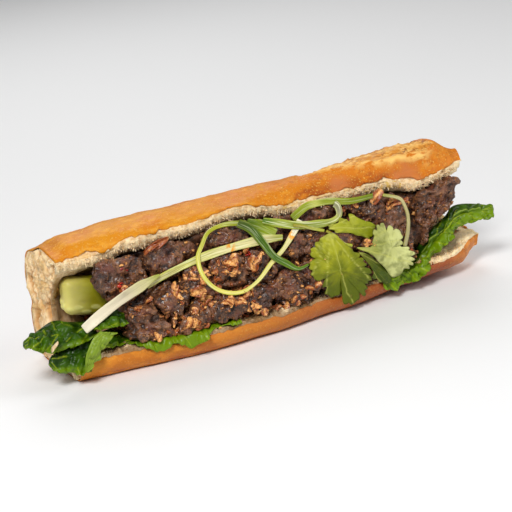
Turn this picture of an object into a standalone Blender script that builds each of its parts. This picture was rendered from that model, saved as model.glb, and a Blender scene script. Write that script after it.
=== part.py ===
"""A rendang sandwich: half a baguette slit along its front and opened on its back hinge, filled along its
whole length with lettuce, a cucumber baton and chunks of beef rendang, and dressed with strips of spring
onion and sprigs of coriander.

Frame: X runs along the loaf, from the cut end (-X) to the baked tip (+X). -Y is the open side. +Z is up,
and the loaf's flat sole rests on Z = 0. The sizes below are in millimetres.
"""

import math

import bmesh
import bpy
from mathutils import Matrix, Vector, noise
from mathutils.bvhtree import BVHTree

MM = 0.001
GAP = 0.4  # kept between pieces that touch

# The loaf: half of a 550 mm baguette, 72 mm deep, slit and opened to about 77 mm high.
CUT_END = -135.0
CUT_SKEW = 0.08  # the cut runs askew: its back stands out further than its front
TIP = 134.5
LID_SHORTFALL = 8.5  # the lid ends this far before the base
STATION_STEP = 11.0
SOLE_END = 30.0  # the underside is flat as far as this, and lifts towards the tip
TAPER_START = 62.0  # the loaf narrows from here to its tip
TIP_DEPTH = 3.0  # Y of the tip's middle
LID_TIP_HEIGHT = 67.0
BASE_TIP_HEIGHT = 15.0
HINGE_HEIGHT = 33.0
HINGE_SPLIT_X = 131.0  # the hinge has torn open at the tip, in a round notch
HINGE_SPLIT_RADIUS = 17.0
HINGE_SPLIT_RISE = 7.0  # the notch's middle above the hinge
HINGE_SPLIT_Y = 20.0
HINGE_CUTTER_LENGTH = 60.0
HINGE_CUTTER_SIDES = 24

# The heap of beef: chunks stewed apart, packed from the cut end to the tip with their fronts in the slit.
# Each row is a chunk's middle (x, z), its half sizes (x, z) and its lean about Y in degrees.
BEEF_CHUNKS = (
    ((-99, 50), (16, 15), -20),
    ((-71, 53), (18, 12), 5),
    ((-89, 23), (15, 14), 0),
    ((-75, 31), (14, 14), -30),
    ((-58, 38), (14, 12), 15),
    ((-65, 20), (15, 11), 0),
    ((-35, 56), (16, 11), -5),
    ((-40, 41), (15, 13), 20),
    ((-46, 20), (15, 12), -10),
    ((-20, 40), (12, 14), 0),
    ((-27, 21), (13, 12), 10),
    ((1, 22), (24, 15), -10),
    ((9, 42), (15, 13), 15),
    ((-6, 55), (15, 11), 0),
    ((22, 57), (17, 10), -10),
    ((36, 42), (16, 13), 10),
    ((35, 21), (18, 13), 0),
    ((48, 57), (13, 10), -10),
    ((63, 50), (15, 14), 20),
    ((57, 28), (15, 15), 0),
    ((78, 31), (13, 14), 0),
    ((99, 43.5), (15.5, 18), 10),
)
CHUNK_DEPTH = 17.0  # a chunk's half size in Y
CHUNK_GRID = 4  # each face of the cube that a chunk starts from is cut into a grid of this many squares
CHUNK_SQUARENESS = 0.45  # 0 is an ellipsoid, 1 a block
CHUNK_LUMPS = 0.16  # how far the stewed surface sinks between its lumps, as a share of the size
HEAP_FORWARD = 2.5  # how far the heap stands out of the line from the base's lip to the lid's
HEAP_SWELL = 4.0  # and how much further at half its height
BED = 2.6  # kept between the beef and the crumb, for the lettuce
CHUNK_REACH = 70.0  # chunks closer than this press on each other
CHUNK_PRESSES = 16
LUMP_SCALE = 2.1

# The cucumber baton, peeled, lying in the slit at the cut end and sloping back behind the beef.
CUCUMBER_MIDDLE = (-108.0, -2.0, 39.5)
CUCUMBER_SIZE = (46.0, 14.0, 20.0)
CUCUMBER_LEAN = 10.0
CUCUMBER_TURN = 20.0
CUCUMBER_EDGE = 3.5

# Three lettuce leaves lie on the base under the filling. Where a leaf lies on the bread, a row gives its
# station x and how far it reaches inwards from the base's lip and outwards over it.
# Where it hangs free, a row gives the points (x, y, z) of its inner and its outer edge.
LEAF_THICKNESS = 0.9
LEAF_OVER_CRUMB = 0.6
LEAF_RUFFLE = 1.3
LEAF_RIM_LIFT = 0.9  # how much a leaf lifts as it bends over the base's lip
LEAF_RIM = 1.3
LEAF_CAMBER = 4.5
LEAF_ACROSS = 5
WAVE_STEP = 1.9  # radians of ruffle from row to row

# Spring onion and coriander are laid on the filling from in front, a little from the left and from above.
LAID_FROM_AZIMUTH = -22.0
LAID_FROM_ELEVATION = 18.0
ONION_PLANE = -28.0  # Y of the plane that the strips' X and Z are given on
CORIANDER_PLANE = -36.0
ONION_THICKNESS = 1.0
ONION_STEP = 4.0
ONION_CLEARANCE = 1.8
STRIP_END_TAPER = 0.75
CORIANDER_THICKNESS = 0.7
CORIANDER_CLEARANCE = 1.6
CORIANDER_SPREAD = 2.0
CORIANDER_RINGS = (0.35, 0.7, 1)
STEM_THICKNESS = 1.6
STEM_CLEARANCE = 2.0
LAID_FROM = 90.0  # how far in front of its plane a piece starts on its way in
LAID_TO = 60.0  # and how far behind that plane it looks for something to rest on
LAY_ROUNDS = 60


def ease(share):
    return share * share * (3 - 2 * share)


def along(x, *knots):
    """The value at x of a smooth profile through (x, value) knots."""
    if x <= knots[0][0]:
        return knots[0][1]
    for (x0, v0), (x1, v1) in zip(knots, knots[1:]):
        if x <= x1:
            return v0 + (v1 - v0) * ease((x - x0) / (x1 - x0))
    return knots[-1][1]


def towards(value, target, share):
    return target + (value - target) * share


def loaf_section(x):
    """The loaf's C-shaped section at x, as named (y, z) corners of its outer crust and of its crumb."""
    taper = 1.0
    if x > TAPER_START:
        taper = math.sqrt(1 - min(0.96, ((x - TAPER_START) / (TIP + 1.5 - TAPER_START)) ** 2.3))
    lift = along(x, (SOLE_END, 0), (100, 5), (TIP, 11))
    front = along(
        x, (-135, -28), (-115, -30), (-60, -34.5), (-20, -32), (25, -25), (70, -21), (100, -21)
    )
    back = along(x, (-135, 38), (-20, 38), (TAPER_START, 35), (100, 34))
    lip = along(x, (-135, 14), (-60, 13), (0, 12), (60, 13), (100, 15), (TIP, 17))
    crest = along(
        x, (-135, 71), (-122, 75), (-95, 77), (24, 78), (64, 82.5), (84, 84), (106, 84), (TIP, 76)
    )
    lid_lip = along(
        x,
        (-135, 66),
        (-107, 66),
        (-92, 69.5),
        (-60, 70),
        (-25, 73),
        (5, 68),
        (70, 68.5),
        (88, 64),
        (TIP, 67),
    )
    pocket = along(x, (-135, 4), (-124, 11), (-105, 20), (TAPER_START, 20), (100, 22))
    crust = (
        (front, lip),
        (front - 0.8, (lip + lift) / 2 + 1),
        (front + 4, lift + 1.6),
        (front + 12, lift),
        (back - 18, lift),
        (back - 6, lift + 4),
        (back, lift + 14),
        (back, HINGE_HEIGHT - 7),
        (back - 4, HINGE_HEIGHT),
        (back + 0.5, HINGE_HEIGHT + 9),
        (back - 1, HINGE_HEIGHT + 20),
        (back - 8, HINGE_HEIGHT + 31),
        (back - 18, crest - 4),
        (back - 30, crest),
        (-6, crest - 2),
        (-12, lid_lip + 2),
        (-12.5, lid_lip),
    )
    crumb = (
        (-10.5, lid_lip - 5),
        (towards(-10.5, pocket - 6, 0.55), towards(lid_lip - 5, HINGE_HEIGHT + 15, 0.62)),
        (pocket - 5, HINGE_HEIGHT + 15),
        (pocket, HINGE_HEIGHT + 6),
        (pocket, HINGE_HEIGHT - 4),
        (pocket - 5, lip + 9),
        (towards(pocket - 5, front, 0.75), lip + 4.5),
        (towards(pocket - 5, front, 0.4), lip + 3),
        (front + 3, lip + 1.5),
    )
    corners = []
    for y, z in crust + crumb:
        height = LID_TIP_HEIGHT if z > HINGE_HEIGHT + 12 else BASE_TIP_HEIGHT if z < HINGE_HEIGHT - 7 else z
        corners.append((towards(y, TIP_DEPTH, taper), towards(z, height, 0.35 + 0.65 * taper)))
    return corners


CRUMB_FROM = 17  # the first crumb corner of a section, under the lid's lip
LID_LIP = 16
BASE_LIP = 0


def in_loaf(x, y, z):
    """The section point (y, z) of station x, set back or forward as the loaf's two ends lean."""
    x -= CUT_SKEW * (y + 10) * ease(min(1, max(0, (CUT_END + 25 - x) / 20)))
    lid_share = ease(min(1, max(0, (z - HINGE_HEIGHT) / 20)))
    x -= LID_SHORTFALL * lid_share * ease(min(1, max(0, (x - 88) / (TIP - 88))))
    return Vector((x, y, max(z, 0)))


def smooth_closed(corners, pieces):
    """A closed Catmull-Rom curve through the corners, with that many points to each corner."""
    count = len(corners)
    points = []
    for i in range(count):
        before, start, end, after = (Vector(corners[(i + k) % count]) for k in (-1, 0, 1, 2))
        for k in range(pieces):
            t = k / pieces
            points.append(
                0.5
                * (
                    2 * start
                    + (end - before) * t
                    + (2 * before - 5 * start + 4 * end - after) * t**2
                    + (3 * start - before - 3 * end + after) * t**3
                )
            )
    return points


def collection(name, hidden=False):
    made = bpy.data.collections.new(name)
    bpy.context.scene.collection.children.link(made)
    made.hide_render = hidden
    return made


def material(name, colour, roughness):
    made = bpy.data.materials.new(name)
    made.use_nodes = True
    shader = made.node_tree.nodes["Principled BSDF"]
    shader.inputs["Base Color"].default_value = (*colour, 1)
    shader.inputs["Roughness"].default_value = roughness
    shader.inputs["Metallic"].default_value = 0.0
    return made


def add_piece(name, bm, finish, where):
    """The bmesh, given in millimetres, as an object of its own."""
    bmesh.ops.scale(bm, vec=(MM, MM, MM), verts=bm.verts)
    bmesh.ops.recalc_face_normals(bm, faces=bm.faces)
    mesh = bpy.data.meshes.new(name)
    bm.to_mesh(mesh)
    bm.free()
    mesh.shade_smooth()
    mesh.set_sharp_from_angle(angle=math.radians(50))
    mesh.materials.append(finish)
    made = bpy.data.objects.new(name, mesh)
    where.objects.link(made)
    return made


def loft(rings):
    """A closed skin over rings of equally many points, with flat ends."""
    bm = bmesh.new()
    rows = [[bm.verts.new(point) for point in ring] for ring in rings]
    count = len(rows[0])
    for row, following in zip(rows, rows[1:]):
        for i in range(count):
            bm.faces.new((row[i], row[(i + 1) % count], following[(i + 1) % count], following[i]))
    bm.faces.new(rows[0])
    bm.faces.new(rows[-1])
    return bm


def make_loaf(finish, where, cutters):
    stations = [CUT_END, CUT_END + 4]
    while stations[-1] < TIP - 2 * STATION_STEP:
        stations.append(stations[-1] + STATION_STEP)
    stations += [TIP - 9, TIP - 4.5, TIP - 1.8, TIP]
    bm = loft([[in_loaf(x, *point) for point in smooth_closed(loaf_section(x), 2)] for x in stations])
    bm.normal_update()
    bmesh.ops.triangulate(bm, faces=[face for face in bm.faces if len(face.verts) > 4])
    loaf = add_piece("bread", bm, finish, where)
    bpy.ops.mesh.primitive_cylinder_add(
        vertices=HINGE_CUTTER_SIDES,
        radius=HINGE_SPLIT_RADIUS * MM,
        depth=HINGE_CUTTER_LENGTH * MM,
        location=(HINGE_SPLIT_X * MM, HINGE_SPLIT_Y * MM, (HINGE_HEIGHT + HINGE_SPLIT_RISE) * MM),
        rotation=(math.radians(90), 0, 0),
    )
    notch = adopt("hinge_notch_cutter", cutters)
    notch.hide_render = True
    notch.display_type = "WIRE"
    cut = loaf.modifiers.new("torn hinge", "BOOLEAN")
    cut.operation = "DIFFERENCE"
    cut.object = notch
    return loaf


def adopt(name, where):
    """Names the object that was just added, and moves it to its collection."""
    made = bpy.context.object
    made.name = name
    made.data.name = name
    for home in list(made.users_collection):
        home.objects.unlink(made)
    where.objects.link(made)
    return made


def make_cucumber(finish, where):
    turn = (0, math.radians(CUCUMBER_LEAN), math.radians(CUCUMBER_TURN))
    bpy.ops.mesh.primitive_cube_add(size=1, location=Vector(CUCUMBER_MIDDLE) * MM, rotation=turn)
    baton = adopt("cucumber", where)
    baton.data.transform(Matrix.Diagonal((*(size * MM for size in CUCUMBER_SIZE), 1)))
    baton.data.materials.append(finish)
    round_edges = baton.modifiers.new("cut edges", "BEVEL")
    round_edges.width = CUCUMBER_EDGE * MM
    round_edges.segments = 3
    return baton


def heap_front(x, z):
    """Y of the heap's front at a station and height: a swelling line from the base's lip to the lid's."""
    section = loaf_section(x)
    (y0, z0), (y1, z1) = section[BASE_LIP], section[LID_LIP]
    share = min(1, max(0, (z - z0) / (z1 - z0)))
    return towards(y1, y0, share) - HEAP_FORWARD - HEAP_SWELL * math.sin(math.pi * share)


def pocket_planes(x, half):
    """The pocket's roof, back and floor over the stretch x - half to x + half, as (point, inward normal)."""
    crumb = [loaf_section(x + offset)[CRUMB_FROM:] for offset in (-half, 0, half)]
    planes = []
    for first, last, inward in ((0, 2, -1), (5, 8, 1)):
        ends = [
            min((section[k] for section in crumb), key=lambda corner: corner[1] * -inward)
            for k in (first, last)
        ]
        (y0, z0), (y1, z1) = ends
        normal = Vector((0, -(z1 - z0), y1 - y0)).normalized()
        if normal.z * inward < 0:
            normal.negate()
        planes.append((Vector((x, y0, z0)), normal))
    back = min(section[k][0] for section in crumb for k in (3, 4))
    planes.append((Vector((x, back, 0)), Vector((0, -1, 0))))
    return planes


def make_beef(finish, where):
    """Chunks that keep off each other and off the bread: rounded blocks, flattened where they are pressed."""
    middles = [Vector((x, heap_front(x, z) + CHUNK_DEPTH, z)) for (x, z), _, _ in BEEF_CHUNKS]
    sizes = [Vector((half_x, CHUNK_DEPTH, half_z)) for _, (half_x, half_z), _ in BEEF_CHUNKS]
    cucumber_turn = Matrix.Rotation(math.radians(CUCUMBER_TURN), 3, "Z")
    cucumber_front = cucumber_turn @ Vector((0, -1, 0))
    cucumber_edge = Vector(CUCUMBER_MIDDLE) + cucumber_front * (CUCUMBER_SIZE[1] / 2 + GAP)
    pieces = []
    for number, (middle, size) in enumerate(zip(middles, sizes)):
        planes = [(point + normal * BED, normal) for point, normal in pocket_planes(middle.x, size.x)]
        for other, (place, extent) in enumerate(zip(middles, sizes)):
            apart = place - middle
            if other != number and apart.length < CHUNK_REACH:
                share = (size.x + size.z) / (size.x + size.z + extent.x + extent.z)
                normal = -apart.normalized()
                planes.append((middle + apart * share + normal * GAP / 2, normal))
        if middle.x - size.x < CUCUMBER_MIDDLE[0] + CUCUMBER_SIZE[0] / 2:
            planes.append((cucumber_edge, cucumber_front))
        bm = bmesh.new()
        bmesh.ops.create_cube(bm, size=2)
        bmesh.ops.subdivide_edges(bm, edges=bm.edges, cuts=CHUNK_GRID - 1, use_grid_fill=True)
        turn = Matrix.Rotation(math.radians(BEEF_CHUNKS[number][2]), 3, "Y")
        seed = Vector((number * 7.3, number * 3.1, 0))
        for vert in bm.verts:
            direction = vert.co.normalized()
            block = direction * (1 + CHUNK_SQUARENESS * (vert.co.length - 1))
            place = middle + turn @ Vector([part * half for part, half in zip(block, size)])
            for _ in range(CHUNK_PRESSES):
                for point, normal in planes:
                    depth = (place - point).dot(normal)
                    if depth < 0:
                        place -= normal * depth
            sink = CHUNK_LUMPS * (0.5 + 0.5 * noise.noise(direction * LUMP_SCALE + seed))
            vert.co = towards(place, middle, 1 - sink)
        pieces.append(add_piece(f"beef_{number + 1:02d}", bm, finish, where))
    return pieces


def from_lip(x, reach, lift):
    """The point reach inwards from the base's lip (below 0: down its crust), and lift off the bread."""
    outline = smooth_closed(loaf_section(x), 2)
    step = -1 if reach > 0 else 1
    left = abs(reach)
    at = 0
    while True:
        here, there = outline[at % len(outline)], outline[(at + step) % len(outline)]
        run = (there - here).length
        if run >= left:
            break
        left -= run
        at += step
    along_skin = (there - here).normalized() * -step
    place = here + (there - here) * (left / run) + Vector((along_skin.y, -along_skin.x)) * -lift
    return in_loaf(x, *place)


def laying_direction():
    azimuth, elevation = math.radians(LAID_FROM_AZIMUTH), math.radians(LAID_FROM_ELEVATION)
    return Vector(
        (
            -math.sin(azimuth) * math.cos(elevation),
            math.cos(azimuth) * math.cos(elevation),
            -math.sin(elevation),
        )
    )


def make_leaf(name, rows, finish, where):
    """A lettuce leaf from its rows: (x, inwards, outwards) on the bread, (inner, outer) points off it."""
    grid = []
    for number, row in enumerate(rows):
        wave = 0.5 + 0.5 * math.sin(number * WAVE_STEP)
        across = []
        if len(row) == 3:
            x, inwards, outwards = row
            edge = min(inwards - 3, -outwards)
            rim = max(edge, 0)
            for reach in (inwards, towards(inwards, rim, 0.5), rim + LEAF_RIM, rim, edge - 0.4):
                over = min(1, max(0, (4 - reach) / 4)) ** 2
                lift = LEAF_OVER_CRUMB + LEAF_THICKNESS / 2 + (LEAF_RIM_LIFT + LEAF_RUFFLE * wave) * over
                across.append(from_lip(x, reach, lift))
        else:
            inner, outer = (Vector(end) for end in row)
            for k in range(LEAF_ACROSS):
                share = k / (LEAF_ACROSS - 1)
                camber = LEAF_CAMBER * 4 * share * (1 - share) + LEAF_RUFFLE * wave * share**3
                across.append(inner + (outer - inner) * share - laying_direction() * camber)
        grid.append(across)
    bm = bmesh.new()
    verts = [[bm.verts.new(point) for point in across] for across in grid]
    for row, following in zip(verts, verts[1:]):
        for k in range(LEAF_ACROSS - 1):
            bm.faces.new((row[k], row[k + 1], following[k + 1], following[k]))
    leaf = add_piece(name, bm, finish, where)
    blade = leaf.modifiers.new("blade", "SOLIDIFY")
    blade.thickness = LEAF_THICKNESS * MM
    blade.offset = 0
    return leaf


def make_lettuce(finish, where):
    upper_left = (
        ((-116, -7, 27), (-119, -22, 23)),
        ((-125, -10, 29.5), (-131, -25, 22.5)),
        ((-134, -14, 33), (-141, -27, 22)),
        ((-138, -13, 34.5), (-149, -29, 23)),
        ((-143, -14, 35), (-154.7, -28, 25)),
        ((-150.8, -16, 32.7), (-158.8, -26, 27.5)),
        ((-160.5, -20, 30.5), (-162.2, -22.5, 26.9)),
    )
    lower_left = [
        ((-148.7, -24, 18.8), (-150.5, -26, 15.2)),
        ((-141, -20, 21.5), (-147.7, -28, 11.6)),
        ((-131.5, -17, 23.5), (-141.5, -29, 9.6)),
        ((-122, -15, 23), (-137, -31.5, 8)),
        ((-114, -13, 22), (-131.6, -33, 9.1)),
        ((-109, -11, 21.5), (-121.2, -34, 19)),
    ]
    hanging = (
        (-106, -7),
        (-97, 1),
        (-88, 3.5),
        (-79.5, 0),
        (-74, 4.5),
        (-70, 4.5),
        (-62, 2),
        (-55.5, -3),
        (-51, -0.5),
        (-46, -4),
        (-42, -3),
    )
    for x in range(-105, -40, 5):
        inwards = along(x, (-105, 25), (-85, 22), (-50, 16), (-42, 11))
        lower_left.append((x, inwards, along(x, *hanging)))
    right = []
    for x in range(55, 99, 6):
        inwards = along(x, (55, 8), (70, 16), (97, 14))
        right.append((x, inwards, along(x, (55, 3.5), (62, 5), (88, 4), (97, 1.5))))
    right += [
        ((102, 2, 20), (104, -14.5, 18)),
        ((109, 5, 24), (109, -14, 21)),
        ((116, 6, 33.5), (113.5, -13, 25)),
        ((123.5, 3, 38), (118.5, -12, 28.5)),
        ((132.5, -1, 38.5), (127.4, -13, 29)),
        ((141, -7, 36), (137.5, -13, 29.5)),
    ]
    rows = {"lettuce_upper_left": upper_left, "lettuce_lower_left": lower_left, "lettuce_right": right}
    return [make_leaf(name, leaf, finish, where) for name, leaf in rows.items()]


def skin_of(pieces):
    """The surface of the finished pieces, in millimetres, to lay the dressing on."""
    depsgraph = bpy.context.evaluated_depsgraph_get()
    points, faces = [], []
    for piece in pieces:
        mesh = piece.evaluated_get(depsgraph).to_mesh()
        first = len(points)
        points += [piece.matrix_world @ vert.co / MM for vert in mesh.vertices]
        faces += [[first + k for k in face.vertices] for face in mesh.polygons]
    return BVHTree.FromPolygons(points, faces)


def lay(points, reaches, neighbours, skin, clearance):
    """How deep each point moves from its plane to rest on the skin, stretched taut between high spots."""
    direction = laying_direction()
    limits = []
    for point, reach in zip(points, reaches):
        depths = []
        for offset in reach:
            start = point + offset - direction * LAID_FROM
            hit = skin.ray_cast(start, direction, LAID_FROM + LAID_TO)
            if hit[0] is not None:
                depths.append(hit[3] - LAID_FROM - clearance)
        limits.append(min(depths) if depths else None)
    known = [limit for limit in limits if limit is not None]
    depths = [sum(known) / len(known) if limit is None else limit for limit in limits]
    for _ in range(LAY_ROUNDS):
        means = [sum(depths[k] for k in near) / len(near) for near in neighbours]
        depths = [mean if limit is None else min(limit, mean) for mean, limit in zip(means, limits)]
    return depths


def make_strip(name, path, width, thickness, clearance, skin, finish, where):
    """A ribbon along the (x, z) path, resting on the skin."""
    knots = [Vector((x, ONION_PLANE, z)) for x, z in path]
    knots = [2 * knots[0] - knots[1]] + knots + [2 * knots[-1] - knots[-2]]
    smooth = []
    for before, start, end, after in zip(knots, knots[1:], knots[2:], knots[3:]):
        count = max(1, round((end - start).length / ONION_STEP))
        for k in range(count):
            t = k / count
            smooth.append(
                0.5
                * (
                    2 * start
                    + (end - before) * t
                    + (2 * before - 5 * start + 4 * end - after) * t**2
                    + (3 * start - before - 3 * end + after) * t**3
                )
            )
    smooth.append(knots[-2])
    last = len(smooth) - 1
    sides = []
    for k in range(last + 1):
        run = smooth[min(last, k + 1)] - smooth[max(0, k - 1)]
        side = Vector((-run.z, 0, run.x)).normalized()
        sides.append(side * width / 2 * (STRIP_END_TAPER if k in (0, last) else 1))
    reaches = []
    for side in sides:
        run = Vector((side.z, 0, -side.x)).normalized() * ONION_STEP / 2
        reaches.append([side * across + run * k for across in (-1.2, -0.48, 0.48, 1.2) for k in (-1, 0, 1)])
    neighbours = [[max(0, k - 1), k, min(last, k + 1)] for k in range(last + 1)]
    depths = lay(smooth, reaches, neighbours, skin, clearance)
    direction = laying_direction()
    rings = []
    for place, side, depth in zip(smooth, sides, depths):
        middle = place + direction * depth
        half = direction * thickness / 2
        front, rear = middle - half, middle + half
        rings.append([front - side, front + side, rear + side, rear - side])
    return add_piece(name, loft(rings), finish, where)


def make_spring_onions(white, green, filling, where):
    """Strips shaved lengthwise, in the order that they are laid."""
    onions = (
        ("short", ((-25, 69), (-18, 64), (-11, 59)), 6.0, green),
        (
            "long",
            (
                (-129, 31), (-120, 36), (-110, 41), (-100, 45), (-89, 49), (-78, 51),
                (-63, 54), (-50, 56), (-32, 57), (-19, 57), (-5, 55),
            ),
            6.2,
            white,
        ),
        (
            "loop",
            (
                (-27, 69), (-40, 71), (-50, 69), (-55, 62), (-58, 56), (-57, 47), (-52, 38), (-44, 32),
                (-34, 30), (-24, 34), (-15, 42), (-6, 49), (1, 57), (6, 63),
            ),
            3.2,
            green,
        ),
        ("dark", ((-32, 70), (-25, 65), (-19, 56), (-13, 46), (-6, 40), (1, 35), (8, 36)), 4.2, green),
        ("under_lid", ((1, 65), (8, 69), (13, 70.5), (25, 70), (39, 67), (53, 67)), 4.5, green),
        (
            "folded",
            ((-17, 68), (-7, 64), (5, 60), (18, 58), (26, 58), (30.5, 60.5), (30, 66), (28, 68)),
            4.2,
            green,
        ),
        ("stalk", ((59, 66), (69, 62), (72, 58), (74, 50), (73, 41), (70, 32)), 2.6, white),
    )
    pieces = []
    for name, path, width, finish in onions:
        skin = skin_of(filling + pieces)
        sizes = (width, ONION_THICKNESS, ONION_CLEARANCE)
        pieces.append(make_strip(f"onion_{name}", path, *sizes, skin, finish, where))
    return pieces


def make_coriander(finish, filling, where):
    """Sprigs laid last: stems as narrow strips, leaflets as lobed plates, each given with its middle."""
    leaflets = (
        ("behind", (38, 54), ((29, 58), (34, 62), (41, 58), (49, 51), (46, 44), (34, 50), (24, 53))),
        ("low", (49, 23), ((49, 30), (55, 19), (53, 15), (46, 18), (42, 26))),
        (
            "pale",
            (57, 36),
            (
                (45, 43), (48, 50), (54, 52.5), (61, 49), (66, 42), (64, 35), (71, 33), (72, 26),
                (66, 18), (56, 19), (50, 29), (40, 37),
            ),
        ),
        (
            "front",
            (24, 33),
            (
                (13, 50), (6, 40), (7, 31), (12, 26), (14, 17.5), (22, 16.5), (25, 10), (35, 10),
                (40, 18), (43, 27), (38, 36), (32, 46),
            ),
        ),
    )
    stems = (("main", ((2, 60), (12, 57), (20, 54)), 2.0), ("side", ((24, 52), (29, 47.5), (35, 42)), 1.6))
    direction = laying_direction()
    pieces = []
    for name, path, width in stems:
        skin = skin_of(filling + pieces)
        sizes = (width, STEM_THICKNESS, STEM_CLEARANCE)
        pieces.append(make_strip(f"coriander_stem_{name}", path, *sizes, skin, finish, where))
    for name, middle, outline in leaflets:
        hub = Vector((middle[0], CORIANDER_PLANE, middle[1]))
        edge = [Vector((x, CORIANDER_PLANE, z)) for x, z in smooth_closed(outline, 2)]
        count = len(edge)
        flat = [hub] + [hub + (point - hub) * share for share in CORIANDER_RINGS for point in edge]
        neighbours = [list(range(1, count + 1))]
        for ring in range(3):
            for k in range(count):
                base = 1 + ring * count
                near = [base + (k - 1) % count, base + (k + 1) % count]
                near.append(base + count + k if ring < 2 else base + k)
                near.append(base - count + k if ring else 0)
                neighbours.append(near)
        spread = [Vector((dx, 0, dz)) * CORIANDER_SPREAD for dx in (-1, 0, 1) for dz in (-1, 0, 1)]
        skin = skin_of(filling + pieces)
        depths = lay(flat, [spread] * len(flat), neighbours, skin, CORIANDER_CLEARANCE)
        bm = bmesh.new()
        verts = [bm.verts.new(point + direction * depth) for point, depth in zip(flat, depths)]
        for k in range(count):
            following = (k + 1) % count
            bm.faces.new((verts[0], verts[1 + k], verts[1 + following]))
            for ring in (1, 1 + count):
                bm.faces.new(
                    (
                        verts[ring + k],
                        verts[ring + count + k],
                        verts[ring + count + following],
                        verts[ring + following],
                    )
                )
        piece = add_piece(f"coriander_{name}", bm, finish, where)
        blade = piece.modifiers.new("blade", "SOLIDIFY")
        blade.thickness = CORIANDER_THICKNESS * MM
        blade.offset = 0
        pieces.append(piece)
    return pieces


def main():
    for stray in list(bpy.data.objects):
        bpy.data.objects.remove(stray)
    sandwich = collection("rendang_sandwich")
    cutters = collection("cutters", hidden=True)
    crust = material("baked crust", (0.62, 0.30, 0.09), 0.5)
    beef = material("stewed beef", (0.10, 0.055, 0.035), 0.4)
    flesh = material("cucumber flesh", (0.52, 0.58, 0.16), 0.3)
    leaf = material("lettuce", (0.07, 0.20, 0.03), 0.4)
    onion_white = material("spring onion white", (0.75, 0.76, 0.55), 0.35)
    onion_green = material("spring onion green", (0.33, 0.45, 0.10), 0.35)
    herb = material("coriander", (0.30, 0.42, 0.07), 0.5)
    filling = [make_loaf(crust, sandwich, cutters), make_cucumber(flesh, sandwich)]
    filling += make_beef(beef, sandwich)
    filling += make_lettuce(leaf, sandwich)
    filling += make_spring_onions(onion_white, onion_green, filling, sandwich)
    make_coriander(herb, filling, sandwich)


main()
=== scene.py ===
"""A beef rendang sandwich: half a baguette slit along its front and filled with lettuce, cucumber and
chunks of stewed beef, dressed with fried shallots, strips of spring onion and coriander. Sizes are in
millimetres. X runs along the loaf to its baked tip, -Y is the open side, and the sole rests on Z = 0.
"""

import math
import random

import bmesh
import bpy
import numpy as np
from mathutils import Matrix, Vector, noise
from mathutils.bvhtree import BVHTree


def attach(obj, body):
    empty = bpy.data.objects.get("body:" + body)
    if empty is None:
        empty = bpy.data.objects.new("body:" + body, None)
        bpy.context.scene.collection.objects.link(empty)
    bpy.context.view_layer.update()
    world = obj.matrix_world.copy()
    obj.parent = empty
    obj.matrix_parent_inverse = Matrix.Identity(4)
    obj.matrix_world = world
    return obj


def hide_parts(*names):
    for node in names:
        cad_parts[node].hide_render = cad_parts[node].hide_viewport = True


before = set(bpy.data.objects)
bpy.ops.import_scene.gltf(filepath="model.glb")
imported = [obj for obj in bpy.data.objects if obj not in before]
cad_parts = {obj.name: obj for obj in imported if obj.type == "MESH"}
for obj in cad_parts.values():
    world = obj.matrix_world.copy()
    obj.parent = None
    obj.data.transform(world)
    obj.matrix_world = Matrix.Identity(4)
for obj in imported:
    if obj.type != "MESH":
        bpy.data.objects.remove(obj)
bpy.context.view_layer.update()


# ---- The loaf's crumb -----------------------------------------------------------------------------------
# Half of a long white baguette, cut across at one end and slit along its front. The crumb is soft and open,
# and torn rather than cut clean, so that tufts of it stand along the slit and the cut end is rough.

MM = 0.001
CUT_END = -135.0
TIP = 134.5
HINGE_HEIGHT = 33.0
HINGE_SPLIT = (131.0, 40.0, 17.0)  # x, z and radius of the notch where the hinge has torn open at the tip
CRUST_CORNERS = 16
CURVE_PIECES = 8
STATIONS = 200
AROUND = 200
ACROSS_CUT = 30
CRUST_DEPTH = 1.0
TORN_BAND = 18  # how many points from the lips the crumb hangs torn
TUFT_BAND = 12  # how many points from the lips it grows tufts
SOAK_AND_SHADE_FROM = 22  # how many points from the lips the soaking and the painted shade deep in the pocket start


def ease(share):
    share = np.clip(share, 0, 1)
    return share * share * (3 - 2 * share)


def along(x, *knots):
    """The value at x of a smooth profile through (x, value) knots."""
    places, values = (np.array(column, float) for column in zip(*knots))
    k = np.clip(np.searchsorted(places, x, side="right") - 1, 0, len(knots) - 2)
    share = ease((x - places[k]) / (places[k + 1] - places[k]))
    return values[k] + (values[k + 1] - values[k]) * share


def towards(value, target, share):
    """The target where share is 0, and the value where it is 1."""
    return target + (value - target) * share


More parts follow.
